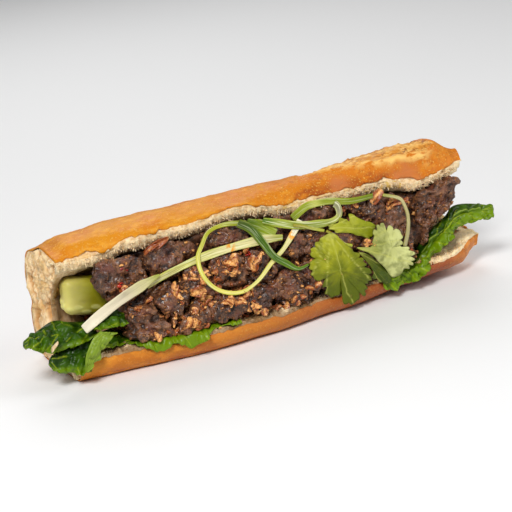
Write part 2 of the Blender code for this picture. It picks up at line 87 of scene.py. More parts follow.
def loaf_section(x):
    """The corners (y, z) of the loaf's C-shaped section at x: crust from lip to lip, then crumb."""
    taper = math.sqrt(1 - min(0.88, (max(0, x - 62) / (TIP + 1.5 - 62)) ** 2.7))
    lift = along(x, (30, 0), (100, 5), (117, 5.5), (TIP, 11))
    front = along(x, (-135, -28), (-115, -30), (-60, -34.5), (-20, -32), (25, -25), (70, -21), (100, -21))
    back = along(x, (-135, 38), (-20, 38), (62, 35), (100, 34))
    lip = along(x, (-135, 14), (-60, 13), (0, 12), (60, 13), (100, 15), (TIP, 22))
    crest = along(x, (-135, 71), (-122, 75), (-95, 77), (24, 78), (64, 82.5), (84, 84), (106, 84), (TIP, 76))
    lid = along(
        x, (-135, 66), (-107, 66), (-92, 69.5), (-60, 70), (-25, 73),
        (5, 68), (70, 68.5), (88, 64), (TIP, 67),
    )
    pocket = along(x, (-135, 4), (-124, 11), (-105, 20), (62, 20), (100, 22))
    crust = (
        (front, lip),
        (front - 0.8, (lip + lift) / 2 + 1),
        (front + 4, lift + 1.6),
        (front + 12, lift),
        (back - 18, lift),
        (back - 6, lift + 4),
        (back, lift + 14),
        (back, HINGE_HEIGHT - 7),
        (back - 4, HINGE_HEIGHT),
        (back + 0.5, HINGE_HEIGHT + 9),
        (back - 1, HINGE_HEIGHT + 20),
        (back - 8, HINGE_HEIGHT + 31),
        (back - 18, crest - 4),
        (back - 30, crest),
        (-6, crest - 2),
        (-12, lid + 2),
        (-12.5, lid),
    )
    crumb = (
        (-10.5, lid - 5),
        (towards(-10.5, pocket - 6, 0.55), towards(lid - 5, HINGE_HEIGHT + 15, 0.62)),
        (pocket - 5, HINGE_HEIGHT + 15),
        (pocket, HINGE_HEIGHT + 6),
        (pocket, HINGE_HEIGHT - 4),
        (pocket - 5, lip + 9),
        (towards(pocket - 5, front, 0.75), lip + 4.5),
        (towards(pocket - 5, front, 0.4), lip + 3),
        (front + 3, lip + 1.5),
    )
    # Towards the tip the lid, the hinge and the base each draw in to a middle of their own.
    corners = []
    for y, z in crust + crumb:
        middle = 67 if z > HINGE_HEIGHT + 12 else 15 if z < HINGE_HEIGHT - 7 else z
        corners.append((towards(y, 3, taper), towards(z, middle, 0.6 + 0.4 * taper)))
    return corners


def in_loaf(points):
    """Points (x, y, z) set back or forward as the loaf's two ends lean, and cut back by the torn hinge."""
    x, y, z = points.T
    skewed = x - 0.08 * (y + 10) * ease((CUT_END + 25 - x) / 20)
    skewed = skewed - 6.5 * ease((z - HINGE_HEIGHT) / 20) * ease((x - 88) / (TIP - 88))
    skewed = skewed - (3.4 + 0.012 * (y - 4) ** 2) * ease((x - 106) / 28)
    split_x, split_z, radius = HINGE_SPLIT
    reach = np.sqrt(np.maximum(radius**2 - (z - split_z) ** 2, 0))
    limit = split_x - reach + 2 * np.maximum(np.abs(z - split_z) - radius, 0)
    start = 96.0
    squeezed = start + (skewed - start) * np.clip((limit - start) / (TIP - start), 0, 1)
    skewed = np.where(skewed > start, np.minimum(skewed, squeezed), skewed)
    return np.stack((skewed, y, np.maximum(z, 0)), axis=1)


def smooth_closed(corners, pieces):
    """A closed Catmull-Rom curve through the corners, with that many points to each corner."""
    start = np.array(corners, float)
    before, start, end, after = (np.roll(start, shift, axis=0)[:, None, :] for shift in (1, 0, -1, -2))
    t = (np.arange(pieces) / pieces)[None, :, None]
    bend = (2 * before - 5 * start + 4 * end - after) * t**2 + (3 * start - before - 3 * end + after) * t**3
    return (0.5 * (2 * start + (end - before) * t + bend)).reshape(-1, start.shape[2])


def evenly(points, count):
    """The polyline's points, moved to equal steps along it."""
    run = np.concatenate(([0], np.cumsum(np.linalg.norm(np.diff(points, axis=0), axis=1))))
    places = np.linspace(0, run[-1], count)
    return np.stack([np.interp(places, run, column) for column in points.T], axis=1)


def loaf_curves(x, count):
    """The section's crust and crumb curves at x, both from the base's lip round the back to the lid's."""
    curve = smooth_closed(loaf_section(x), CURVE_PIECES)
    corner = CRUST_CORNERS * CURVE_PIECES
    crust = evenly(curve[: corner + 1], count)
    crumb = evenly(np.concatenate((curve[corner:], curve[:1]))[::-1], count)
    return crust, crumb


def outward(curve):
    """The unit normals of a section curve that runs from the base's lip round the back to the lid's."""
    run = np.gradient(curve, axis=0)
    normals = np.stack((run[:, 1], -run[:, 0]), axis=1)
    return normals / np.linalg.norm(normals, axis=1)[:, None]


def at_station(x, curve):
    """The points of a (y, z) curve at x along the loaf."""
    return np.column_stack((np.full(len(curve), x), curve))


def grid_faces(rows, columns, first=0, around=False):
    """Quads between rows of equally many points."""
    faces = []
    for row in range(rows - 1):
        for k in range(columns - (not around)):
            here, there = first + row * columns + k, first + row * columns + (k + 1) % columns
            faces.append((here, there, there + columns, here + columns))
    return faces


def wander(points, size, seed, octaves=3):
    """Smooth random values of about -1 to 1 at the points, that vary over size millimetres."""
    places = np.asarray(points) / size + np.array((17.3, 5.1, 29.7)) * seed
    return np.array([noise.fractal(place, 0.8, 2.0, octaves) for place in places.tolist()])


def add_piece(name, points, faces, finish, nodes=()):
    """A piece from points in millimetres, which rides on the sandwich and stands for the nodes."""
    bm = bmesh.new()
    verts = [bm.verts.new(point) for point in (np.asarray(points) * MM).tolist()]
    for face in faces:
        bm.faces.new([verts[k] for k in face])
    bmesh.ops.recalc_face_normals(bm, faces=bm.faces)
    mesh = bpy.data.meshes.new(name)
    bm.to_mesh(mesh)
    bm.free()
    mesh.shade_smooth()
    mesh.materials.append(finish)
    piece = bpy.data.objects.new(name, mesh)
    bpy.context.scene.collection.objects.link(piece)
    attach(piece, "root")
    if nodes:
        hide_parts(*nodes)
    return piece


def points_of(piece):
    """The piece's points in millimetres, and its normals there."""
    count = len(piece.data.vertices)
    points, normals = np.empty(count * 3), np.empty(count * 3, np.float32)
    piece.data.vertices.foreach_get("co", points)
    piece.data.vertex_normals.foreach_get("vector", normals)
    return points.reshape(-1, 3) / MM, normals.reshape(-1, 3)


def move_points(piece, points):
    piece.data.vertices.foreach_set("co", (np.asarray(points) * MM).ravel())
    piece.data.update()


def paint(piece, name, values):
    """Keeps a value for each point, for the finish to read."""
    attribute = piece.data.attributes.new(name, "FLOAT", "POINT")
    attribute.data.foreach_set("value", np.asarray(values, np.float32))


class Signal:
    """An output in a finish's node tree. Arithmetic on it adds Math nodes."""

    def __init__(self, tree, socket):
        self.tree = tree
        self.socket = socket

    def math(self, operation, *values):
        made = self.tree.nodes.new("ShaderNodeMath")
        made.operation = operation
        for entry, value in zip(made.inputs, values):
            feed(self.tree, entry, value)
        return Signal(self.tree, made.outputs[0])

    def __add__(self, other):
        return self.math("ADD", self, other)

    def __sub__(self, other):
        return self.math("SUBTRACT", self, other)

    def __rsub__(self, other):
        return self.math("SUBTRACT", other, self)

    def __mul__(self, other):
        return self.math("MULTIPLY", self, other)

    __radd__ = __add__
    __rmul__ = __mul__

    def between(self, low, high):
        """0 where the value is below low, 1 above high, and smooth between them."""
        made = self.tree.nodes.new("ShaderNodeMapRange")
        made.interpolation_type = "SMOOTHSTEP"
        feed(self.tree, made.inputs["Value"], self)
        made.inputs["From Min"].default_value = low
        made.inputs["From Max"].default_value = high
        return Signal(self.tree, made.outputs["Result"])


def feed(tree, entry, value):
    if isinstance(value, Signal):
        tree.links.new(value.socket, entry)
    else:
        entry.default_value = value


class Finish:
    """A material, its node tree and the shader at its end, whose uniform values are set on its sockets."""

    def __init__(self, name, uniform):
        self.made = bpy.data.materials.new(name)
        self.made.use_nodes = True
        self.tree = self.made.node_tree
        self.shader = self.tree.nodes["Principled BSDF"]
        self.place = self.node("TexCoord", {}, {}, "Object")
        for socket, value in uniform.items():
            self.shader.inputs[socket].default_value = value

    def node(self, kind, settings, sockets, output=0):
        made = self.tree.nodes.new("ShaderNode" + kind)
        for key, value in settings.items():
            setattr(made, key, value)
        for key, value in sockets.items():
            feed(self.tree, made.inputs[key], value)
        return Signal(self.tree, made.outputs[output])

    def mottle(self, size, detail=3.0, stretch=(1, 1, 1)):
        """Noise that varies over size millimetres, or more along an axis that is stretched."""
        scale = tuple(1 / (part * size * MM) for part in stretch)
        place = self.node("Mapping", {}, {"Vector": self.place, "Scale": scale})
        return self.node("TexNoise", {}, {"Vector": place, "Scale": 1.0, "Detail": detail}, "Fac")

    def painted(self, name, output="Fac"):
        return self.node("Attribute", {"attribute_name": name}, {}, output)

    def coats(self, colour, *coats):
        """The colour under coats of other colours, each with where it covers what is under it."""
        for coat, where in coats:
            low, high = ((*side, 1) if isinstance(side, tuple) else side for side in (colour, coat))
            colour = self.node("Mix", {"data_type": "RGBA"}, {0: where, 6: low, 7: high}, 2)
        return colour

    def finish(self, colour, roughness, height=None, depth=1.0):
        """Joins up the shader; height is 0 to 1, and stands for depth millimetres."""
        feed(self.tree, self.shader.inputs["Base Color"], colour)
        feed(self.tree, self.shader.inputs["Roughness"], roughness)
        if height:
            bump = self.node("Bump", {}, {"Strength": 1.0, "Distance": depth * MM, "Height": height})
            feed(self.tree, self.shader.inputs["Normal"], bump)
        return self.made


look = Finish(
    "torn crumb",
    {
        "Subsurface Weight": 0.3,
        "Subsurface Scale": 0.003,
        "Subsurface Radius": (1.0, 0.85, 0.6),
        "Specular IOR Level": 0.15,
    },
)
strands = look.mottle(1.5, 3, (1, 1, 3.6))
hollows = look.mottle(9, 2)
butter = look.painted("butter") * look.mottle(3.0, 2).between(0.5, 0.6)
cream = look.coats(
    (0.70, 0.44, 0.21),
    ((0.92, 0.70, 0.42), strands.between(0.34, 0.6)),
    ((0.76, 0.47, 0.17), hollows.between(0.48, 0.66) * 0.6),
    # painted shade in the crumb's pits and caves
    ((0.58, 0.29, 0.09), look.painted("painted_pore_shade").between(0.15, 1.0) * 0.9),
    # painted light on crumb that lies in shade
    ((1.0, 0.80, 0.50), look.painted("painted_light") * (0.35 + 0.6 * strands)),
    ((0.80, 0.50, 0.05), butter * 0.8),
    # sauce soaked into the crumb, and painted shade deep in the pocket
    ((0.16, 0.062, 0.018), look.painted("soaked_and_shaded") * (0.5 + 0.5 * hollows)),
)
crumb_finish = look.finish(cream, 0.85, strands * 0.65 + look.mottle(0.7, 3) * 0.35, 0.8)

stations = np.linspace(CUT_END, TIP, STATIONS)
ring_size = 2 * AROUND - 2
from_edge = np.minimum(np.arange(AROUND), AROUND - 1 - np.arange(AROUND))
rings = []
for x in stations:
    crust, crumb = loaf_curves(x, AROUND)
    inset = CRUST_DEPTH * ease(from_edge / 3) + 1.8 * ease((x - CUT_END) / 14) * ease((from_edge - 6) / 8)
    skin = crust - outward(crust) * inset[:, None]
    rings.append(at_station(x, np.concatenate((skin, crumb[-2:0:-1]))))
points = list(in_loaf(np.concatenate(rings)))
from_rim = [0.0] * len(points)
faces = grid_faces(STATIONS, ring_size, around=True)
for row, end in ((0, -1), (STATIONS - 1, 1)):
    chains = []
    for k in range(AROUND):
        outer, inner = row * ring_size + k, row * ring_size + (ring_size - k) % ring_size
        if k in (0, AROUND - 1):
            chains.append([outer] * (ACROSS_CUT + 1))
            continue
        chain = [outer]
        for step in range(1, ACROSS_CUT):
            share = step / ACROSS_CUT
            place = points[outer] + (points[inner] - points[outer]) * share
            chain.append(len(points))
            points.append(place + np.array((end * 1.5 * math.sin(math.pi * share), 0, 0)))
            from_rim.append(np.linalg.norm(place - points[outer]))
        chains.append(chain + [inner])
    for chain, following in zip(chains, chains[1:]):
        for here, there, back, home in zip(chain, following, following[1:], chain[1:]):
            corners = list(dict.fromkeys((here, there, back, home)))
            if len(corners) > 2:
                faces.append(corners)
crumb = add_piece("bread_crumb", points, faces, crumb_finish, ["bread"])

points, normals = points_of(crumb)
order = np.arange(len(points))
in_ring = order % ring_size
on_cap = order >= STATIONS * ring_size
depth_in = np.minimum(ring_size - in_ring, in_ring - AROUND + 1)
torn = np.where(on_cap, 1.2, np.where(in_ring >= AROUND, 1.0, 0.0))
torn[on_cap & (points[:, 0] > 0)] = 0.35
near_lip = ~on_cap & (in_ring >= AROUND) & (depth_in < TORN_BAND)
tufts = wander(points * (1, 1, 0.6), 6.5, 1, 2)
pits = wander(points, 5, 3, 2)
lift = 1.0 * tufts - 1.5 * np.clip(pits - 0.22, 0, 1)
caves = np.clip(wander(points * (1, 1, 0.7), 13, 45, 2) + 0.02, 0, 1)
strings = 0.35 - np.abs(wander(points * (1, 1, 0.3), 4.5, 2, 3))
inside_rim = ease(np.array(from_rim) / 6)
lift += on_cap * (4.2 * strings - 11 * caves * inside_rim - 0.5)
hanging = wander(points * (1, 0.3, 0.3), 3, 4, 2)
lift += near_lip * (0.1 + 1.3 * hanging) * (1 - 0.7 * ease((points[:, 0] - 95) / 20))
move_points(crumb, points + normals * (lift * torn)[:, None])
x, y, z = points.T
inland = ease((104 - x) / 12)
# Painted shade: the crumb is darkened where its torn surface sinks into pits and caves.
paint(crumb, "painted_pore_shade", np.clip(-lift / 3, 0, 1) * torn * inland)
# Painted light: the crumb band under the lid's lip and the crumb towards the tip lie in shade, and are
# painted paler.
paint(crumb, "painted_light", np.clip(near_lip * (z > 45) + 1 - inland, 0, 1))
buttered = (z < 30) & (np.abs(x - 75) < 14)
buttered |= (z > 60) & ((np.abs(x - 10) < 12) | (np.abs(x - 65) < 14))
paint(crumb, "butter", buttered * (torn > 0.6) * 0.9)
# The stain is sauce soaked into the crumb by the lips low down, and painted shade that grows darker deeper
# into the pocket.
deep = ~on_cap & (in_ring > AROUND) & (depth_in > SOAK_AND_SHADE_FROM)
stain = deep * np.clip((depth_in - SOAK_AND_SHADE_FROM) / 24, 0, 1) * 0.8 * ease((108 - x) / 16)
sauced = (near_lip | (in_ring < 6)) & (z < 30)
reached = ease((x + 124) / 10) * ease((58 - x) / 14)
stain += sauced * ease((wander(points, 6, 44, 3) + 0.85) / 0.5) * reached * 0.9
stain = np.clip(stain, 0, 0.9)
paint(crumb, "soaked_and_shaded", stain)

# Tufts of torn crumb stand out along both edges of the slit.
TUFTS = 3000
TUFT_LENGTHS = (1.2, 3.2)
TUFT_BREADTHS = (0.22, 0.5)

chance = random.Random(3)
shaggy = np.flatnonzero(near_lip & (depth_in < TUFT_BAND) & (points[:, 0] < 118))
moved, facing_out = points_of(crumb)
tuft_points, tuft_faces, tuft_soak_and_shade = [], [], []
for _ in range(TUFTS):
    k = shaggy[chance.randrange(len(shaggy))]
    stray = Vector([chance.gauss(0, 0.55) for _ in range(3)])
    way = (Vector(facing_out[k].tolist()) + stray + Vector((0, 0, -0.25))).normalized()
    side = way.orthogonal().normalized()
    side.rotate(Matrix.Rotation(chance.uniform(0, 6.3), 3, way))
    reach = chance.uniform(*TUFT_LENGTHS) * chance.uniform(0.5, 1)
    breadth = chance.uniform(*TUFT_BREADTHS)
    root = Vector(moved[k].tolist()) - way * 0.5
    droop = way.cross(side) * chance.uniform(-0.4, 0.4) * reach
    first = len(tuft_points)
    bent = root + way * reach * 0.6
    tuft_points += [
        root - side * breadth,
        root + side * breadth,
        bent - side * breadth * 0.8 + droop * 0.4,
        bent + side * breadth * 0.7 + droop * 0.4,
        root + way * reach + side * chance.uniform(-0.3, 0.3) + droop,
    ]
    tuft_soak_and_shade += [stain[k]] * 5
    tuft_faces += [(first, first + 1, first + 3, first + 2), (first + 2, first + 3, first + 4)]
tufted = add_piece("crumb_tufts", tuft_points, tuft_faces, crumb_finish)
# The tufts carry the crumb's soaking and painted shade, and painted light where they have none.
paint(tufted, "soaked_and_shaded", tuft_soak_and_shade)
paint(tufted, "painted_light", [1 - share for share in tuft_soak_and_shade])


# ---- The crust ------------------------------------------------------------------------------------------
# A thin shell baked golden, deeper on its sides towards the tip, with fine blisters. One slash along the top
# has opened into a rough paler strip behind a thin raised edge. The shell ends ragged along the slit.

SHELL_AROUND = 150
SHELL_THICKNESS = 1.5
SHELL_STEPS = 400
TIP_RINGS = 7
SLASH_ENDS = (16.0, 111.0)
SLASH_WIDTH = 27
SLASH_FRONT = ((16, 6), (34.6, 2), (45.4, -2.6), (56.9, -5.7), (69.3, -7), (97.9, -6.7), (111, -2.5))

rings = []
for x in stations:
    crust, crumb_curve = loaf_curves(x, SHELL_STEPS)
    length = np.linalg.norm(np.diff(crust, axis=0), axis=1).sum()
    ragged = [noise.fractal((x / 8, side, 0), 0.7, 2, 5) for side in (3.3, 8.8)]
    start = max(0, 0.7 + 1.1 * ragged[0]) / length
    end = 1 - max(0, (1.4 + 2.6 * ragged[1]) * (1 - 0.9 * ease((x - 94) / 16))) / length
    share = np.linspace(start, end, SHELL_AROUND) * (SHELL_STEPS - 1)
    places, inner = (
        np.stack([np.interp(share, np.arange(SHELL_STEPS), column) for column in curve.T], axis=1)
        for curve in (crust, crumb_curve)
    )
    rings.append(at_station(x, places))
for k in range(1, TIP_RINGS + 1):
    turn = k / TIP_RINGS * math.pi / 2
    closing = places + (inner - places) * 0.46 * (1 - math.cos(turn))
    rings.append(at_station(TIP + 0.9 * math.sin(turn), closing))
points = in_loaf(np.concatenate(rings))

x, y, z = points.T
middle = ease((x - SLASH_ENDS[0]) / 22) * ease((SLASH_ENDS[1] - x) / 16)
behind = y - (along(x, *SLASH_FRONT) + 0.9 * wander(points, 6, 11))
width = SLASH_WIDTH * middle
open_slash = ease(behind / 1.2) * ease((width - behind) / 2.5) * (z > 60) * (middle > 0.02)
ridge = np.exp(-((behind + 0.7) ** 2) / 1.4) * middle * (z > 60)
on_lid = z > HINGE_HEIGHT + 8
hinge = ease((z - HINGE_HEIGHT - 1) / 14 + 0.25 * wander(points, 9, 21))
rough_top = wander(points, 3.2, 12)

look = Finish("baked crust", {"Specular IOR Level": 0.2})
freckles = look.mottle(1.1, 3).between(0.56, 0.7)
clouds = look.mottle(18, 4)
smears = look.mottle(3.4, 5, (2.0, 1, 1))
fine = look.mottle(1.9, 5)
up = look.painted("lid")
run = look.node("SeparateXYZ", {}, {0: look.place}, "X")
east = run.between(-0.10, 0.08)
tip = run.between(0.098, 0.126)
lid_gold = look.coats(
    (0.66, 0.25, 0.006),
    ((0.62, 0.17, 0.008), east * 0.85 + clouds * 0.15),
    ((0.74, 0.24, 0.012), tip),
)
colour = look.coats(
    (0.66, 0.225, 0.022),
    ((0.33, 0.083, 0.030), east),
    ((0.86, 0.32, 0.05), tip),
    (lid_gold, up),
    ((0.62, 0.155, 0.005), clouds.between(0.40, 0.66) * (0.1 + 0.35 * up)),
    ((0.86, 0.42, 0.045), smears.between(0.46, 0.66) * (0.2 + 0.25 * up - 0.2 * east)),
    ((0.38, 0.080, 0.006), look.painted("dark") * smears.between(0.3, 0.6)),
    ((0.92, 0.54, 0.11), freckles * (0.25 + 0.3 * up + 0.15 * east * up)),
    ((0.34, 0.080, 0.010), (1 - fine).between(0.54, 0.7) * (0.15 + 0.25 * east)),
    ((0.66, 0.275, 0.040), look.painted("slash") * (0.5 + 0.5 * fine)),
    ((0.92, 0.56, 0.16), look.painted("pale") * smears.between(0.34, 0.5)),
    ((0.56, 0.175, 0.05), look.painted("pink") * 0.8),
    # scorching, and the painted shadow in the groove behind the slash's raised edge
    ((0.22, 0.055, 0.006), look.painted("scorch_and_groove_shadow") * fine.between(0.44, 0.56)),
)
relief = 0.5 * fine + 0.1 * look.mottle(0.6, 2) + 0.4 * freckles
crust_finish = look.finish(colour, 0.52 - 0.16 * clouds, relief, 0.45)

faces = grid_faces(len(rings), SHELL_AROUND)
crust = add_piece("bread_crust", points, faces, crust_finish)
points, normals = points_of(crust)
# The shell isn't closed, so its normals can come out facing in.
if normals[np.argmax(points[:, 2]), 2] < 0:
    crust.data.flip_normals()
    normals = -normals
lift = 0.6 * wander(points, 16, 13) + 0.2 * wander(points, 4, 14)
lift += 1.5 * ridge - 1.6 * open_slash + open_slash * (0.9 * rough_top + 0.45 * wander(points, 1.6, 15, 2))
# The last rings close over the tip, and stay smooth.
calm = 1 - 0.9 * ease((np.arange(len(points)) // SHELL_AROUND - STATIONS + 6) / 6)
move_points(crust, points + normals * (lift * calm * np.where(z < 2, 0.15, 1))[:, None])
paint(crust, "lid", hinge)
paint(crust, "slash", open_slash)
# A painted shadow lies in the groove just behind the slash's raised edge.
groove_shadow = np.exp(-((behind - 1.2) ** 2) / 0.8) * middle * on_lid
drawn_out = wander(points * (0.3, 1, 1), 2.8, 22, 3)
paint(crust, "pale", np.clip(ridge + open_slash * np.clip(0.3 + 1.5 * drawn_out, 0, 1), 0, 1))
low_on_lid = np.exp(-(((z - 71) / 3.2) ** 2)) * ease((x - 5) / 20) * ease((84 - x) / 20) * (y < 0)
clouded = wander(points, 25, 16) > 0.25
paint(crust, "dark", np.clip(low_on_lid * 1.2 + (z < 3) * 0.5 + 0.5 * clouded, 0, 1))


def patch(middle_point, radius, seed):
    """1 within the radius of a point, with a ragged edge."""
    apart = np.linalg.norm(points - np.array(middle_point), axis=1) / radius
    return ease(1.5 - apart + 0.4 * wander(points, 4, seed)) * (apart < 2)


pink = np.clip(patch((40, -10.7, 72), 6, 17) + patch((84, -12, 67), 9, 18), 0, 1)
paint(crust, "pink", pink)
# Scorched at the slash's back edge and in streaks, together with the painted groove shadow.
back_edge = np.exp(-(((behind - width) / 3.5) ** 2)) * middle * on_lid
streaks = open_slash * ease((wander(points * (0.4, 1, 1), 3.0, 19, 3) - 0.12) / 0.2)
paint(crust, "scorch_and_groove_shadow", np.clip(back_edge * 1.3 + 0.55 * streaks + 0.5 * groove_shadow, 0, 1))


def thicken(piece, thickness, offset=0, clamp=0, rounded=False):
    """Makes a sheet as thick as a number of millimetres, and rounds its edges."""
    solid = piece.modifiers.new("thickness", "SOLIDIFY")
    solid.thickness = thickness * MM
    solid.offset = offset
    solid.thickness_clamp = clamp
    if rounded:
        smooth = piece.modifiers.new("rounded edges", "SUBSURF")
        smooth.levels = smooth.render_levels = 1


thicken(crust, SHELL_THICKNESS, offset=-1, clamp=2)


# ---- The beef -------------------------------------------------------------------------------------------
# Chunks of beef stewed until the sauce is dry and dark. Each is craggy along its fibres and coated in the
# coarse spice paste, with painted highlights on its crests and painted shade in its low places. They are
# packed close, with more of the dry sauce behind them, painted dark with the shade between the chunks.

CHUNKS = 22
CHUNK_SWELL = 1.08
CHUNK_VOXEL = 0.8
CHUNK_SMOOTHINGS = 9
SAUCE_ENDS = (-108, 100)
SAUCE_RINGS = 105
SAUCE_AROUND = 72

look = Finish("rendang beef", {"Specular IOR Level": 0.5, "Coat Weight": 0.2, "Coat Roughness": 0.15})
paste = look.mottle(2.4, 5)
shreds = look.mottle(7, 3)
grains = look.mottle(0.9, 4)
gloom = look.mottle(16, 1)
brown = look.coats(
    (0.028, 0.010, 0.006),
    ((0.18, 0.066, 0.026), paste.between(0.38, 0.6)),
    ((0.15, 0.034, 0.020), shreds.between(0.48, 0.62) * 0.55),
    ((0.50, 0.19, 0.040), look.mottle(1.6, 1).between(0.66, 0.71) * 0.8),
    ((0.022, 0.009, 0.006), gloom.between(0.50, 0.68) * 0.6),
    ((0.24, 0.115, 0.060), (1 - gloom).between(0.52, 0.66) * shreds.between(0.3, 0.55) * 0.45),
    # painted highlights on the crests, and painted shade in the low places
    ((0.40, 0.19, 0.075), look.painted("high") * grains.between(0.44, 0.6) * 0.7),
    ((0.010, 0.004, 0.003), look.painted("low") * 0.95),
)
relief = paste * 0.5 + grains * 0.5
beef_finish = look.finish(brown, 0.55 - 0.4 * grains.between(0.35, 0.65), relief, 0.9)

skins = []


def keep_skin(piece):
    """Adds the finished piece to what the toppings are laid on."""
    points, _ = points_of(piece)
    faces = [list(face.vertices) for face in piece.data.polygons]
    skins.append(BVHTree.FromPolygons(points.tolist(), faces))


def emptied(bm):
    """The mesh's points and faces. It is freed."""
    points = np.array([vert.co for vert in bm.verts])
    faces = [[vert.index for vert in face.verts] for face in bm.faces]
    bm.free()
    return points, faces


def tube_faces(rows, columns):
    """Quads between rings of equally many points, and a face over each end."""
    ends = [list(range(first, first + columns)) for first in (0, (rows - 1) * columns)]
    return grid_faces(rows, columns, around=True) + ends


keep_skin(crumb)
for number in range(1, CHUNKS + 1):
    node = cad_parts[f"beef_{number:02d}"]
    bm = bmesh.new()
    bm.from_mesh(node.data)
    bmesh.ops.remove_doubles(bm, verts=bm.verts, dist=1e-5)
    centre = sum((vert.co for vert in bm.verts), Vector()) / len(bm.verts)
    for vert in bm.verts:
        vert.co = centre + (vert.co - centre) * CHUNK_SWELL
    mesh = bpy.data.meshes.new("chunk blank")
    bm.to_mesh(mesh)
    bm.free()
    blank = bpy.data.objects.new("chunk blank", mesh)
    bpy.context.scene.collection.objects.link(blank)
    remesh = blank.modifiers.new("even skin", "REMESH")
    remesh.mode = "VOXEL"
    remesh.voxel_size = CHUNK_VOXEL * MM
    even = bpy.data.meshes.new_from_object(blank.evaluated_get(bpy.context.evaluated_depsgraph_get()))
    bpy.data.objects.remove(blank)
    bm = bmesh.new()
    bm.from_mesh(even)
    for _ in range(CHUNK_SMOOTHINGS):
        bmesh.ops.smooth_vert(
            bm, verts=bm.verts, factor=0.5, use_axis_x=True, use_axis_y=True, use_axis_z=True
        )
    points, faces = emptied(bm)
    points = points / MM
    # Each chunk is bent its own way.
    sway = [wander(points, 12, number * 3 + axis, 2) for axis in (101, 102, 103)]
    points = points + np.column_stack(sway) * 3.6
    # The last chunk leans out over the tip, and the one before it makes room for it.
    if number == CHUNKS:
        x, y, z = points.T
        points[:, 0] -= 19 * ease((57 - z) / 28) * ease((x - 86) / 26)
        raised = 4 * ease((x - 94) / 12) - 3 * ease((94 - x) / 8)
        points[:, 2] += raised * ease((z - 44) / 10)
    if number == CHUNKS - 1:
        points[:, 0] = np.where(points[:, 0] > 70, 70 + (points[:, 0] - 70) * 0.5, points[:, 0])
    chunk = add_piece(f"beef_{number:02d}_stewed", points, faces, beef_finish, [node.name])
    points, normals = points_of(chunk)
    # The fibres too run their own way in each, and the crags lie along them.
    turn = np.array(Matrix.Rotation(number * 2.3, 3, "Y") @ Matrix.Rotation(number * 1.1, 3, "X"))
    grain = points @ turn.T * (0.4, 1, 1)
    crags = 0.5 - 1.8 * np.abs(wander(grain, 6, number + 20, 4))
    lumps = wander(points, 5.5, number + 50, 2)
    clods = np.clip(wander(points, 3.0, number + 65, 2), -0.2, 0.6)
    grit = wander(points, 1.5, number + 80, 2)
    lift = 1.6 * crags + 1.6 * lumps + 0.7 * clods + 0.3 * grit - 0.1
    move_points(chunk, points + normals * lift[:, None])
    # Painted highlight where the surface stands out, and painted shade where it sinks.
    paint(chunk, "high", np.clip((lift - 0.1) / 1.6, 0, 1))
    paint(chunk, "low", np.clip(-(lift + 1.3) / 1.5, 0, 1))
    keep_skin(chunk)

rings = []
for x in np.linspace(*SAUCE_ENDS, SAUCE_RINGS):
    section = loaf_section(x)
    (front_y, low_z), (top_y, top_z) = section[0], section[CRUST_CORNERS]
    back_y = section[CRUST_CORNERS + 4][0]
    core = [
        (towards(front_y, back_y, 0.66), low_z + 8),
        (back_y - 8, low_z + 9),
        (back_y - 3, HINGE_HEIGHT + 2),
        (back_y - 9, HINGE_HEIGHT + 12),
        (top_y + 7, top_z - 9),
        (towards(top_y, back_y, 0.84), (low_z + top_z) / 2 + 6),
        (towards(front_y, back_y, 0.8), (low_z + top_z) / 2 - 6),
    ]
    ring = evenly(np.concatenate((smooth_closed(core, 6), [core[0]])), SAUCE_AROUND + 1)
    rings.append(at_station(x, ring[:-1]))
points = in_loaf(np.concatenate(rings))
faces = tube_faces(SAUCE_RINGS, SAUCE_AROUND)
sauce = add_piece("beef_sauce", points, faces, beef_finish)
points, normals = points_of(sauce)
lift = 1.6 * wander(points, 6, 5) + 0.8 * wander(points, 2.2, 6)
move_points(sauce, points + normals * lift[:, None])
# The core is painted mostly dark as the shade between and behind the chunks, with painted highlights on its
# few high spots.
paint(sauce, "high", np.clip(lift / 2.5, 0, 0.6))
paint(sauce, "low", np.clip(0.6 - lift / 1.8, 0, 1))
keep_skin(sauce)


# ---- The cucumber ---------------------------------------------------------------------------------------
# One baton, cut lengthwise from a peeled cucumber, lying in the slit at the cut end. Its flesh is wet and
# half clear, with painted light: paler towards the end at the loaf's cut end and low down, darker on top in
# the lid's shade. A row of soft seeds lies below.

CUCUMBER_MIDDLE = np.array((-107.3, -2.0, 39.5))
CUCUMBER_SIZE = np.array((46.0, 14.0, 20.0))
CUCUMBER_EDGE = 4.5
CUCUMBER_CUTS = 44

bm = bmesh.new()
bmesh.ops.create_cube(bm, size=2)
bmesh.ops.subdivide_edges(bm, edges=bm.edges, cuts=CUCUMBER_CUTS, use_grid_fill=True)
block, faces = emptied(bm)
half = CUCUMBER_SIZE / 2
core = np.clip(block * half, -(half - CUCUMBER_EDGE), half - CUCUMBER_EDGE)
out = block * half - core
out_length = np.maximum(np.linalg.norm(out, axis=1), 1e-6)
local = (core + out / out_length[:, None] * CUCUMBER_EDGE) * (1.03, 1.0, 1.05)
turn = Matrix.Rotation(math.radians(-4), 3, "Z") @ Matrix.Rotation(math.radians(10), 3, "Y")
local[:, 0] -= 0.12 * local[:, 2] * ease((-local[:, 0] - 4) / 18)
points = local @ np.array(turn).T + CUCUMBER_MIDDLE

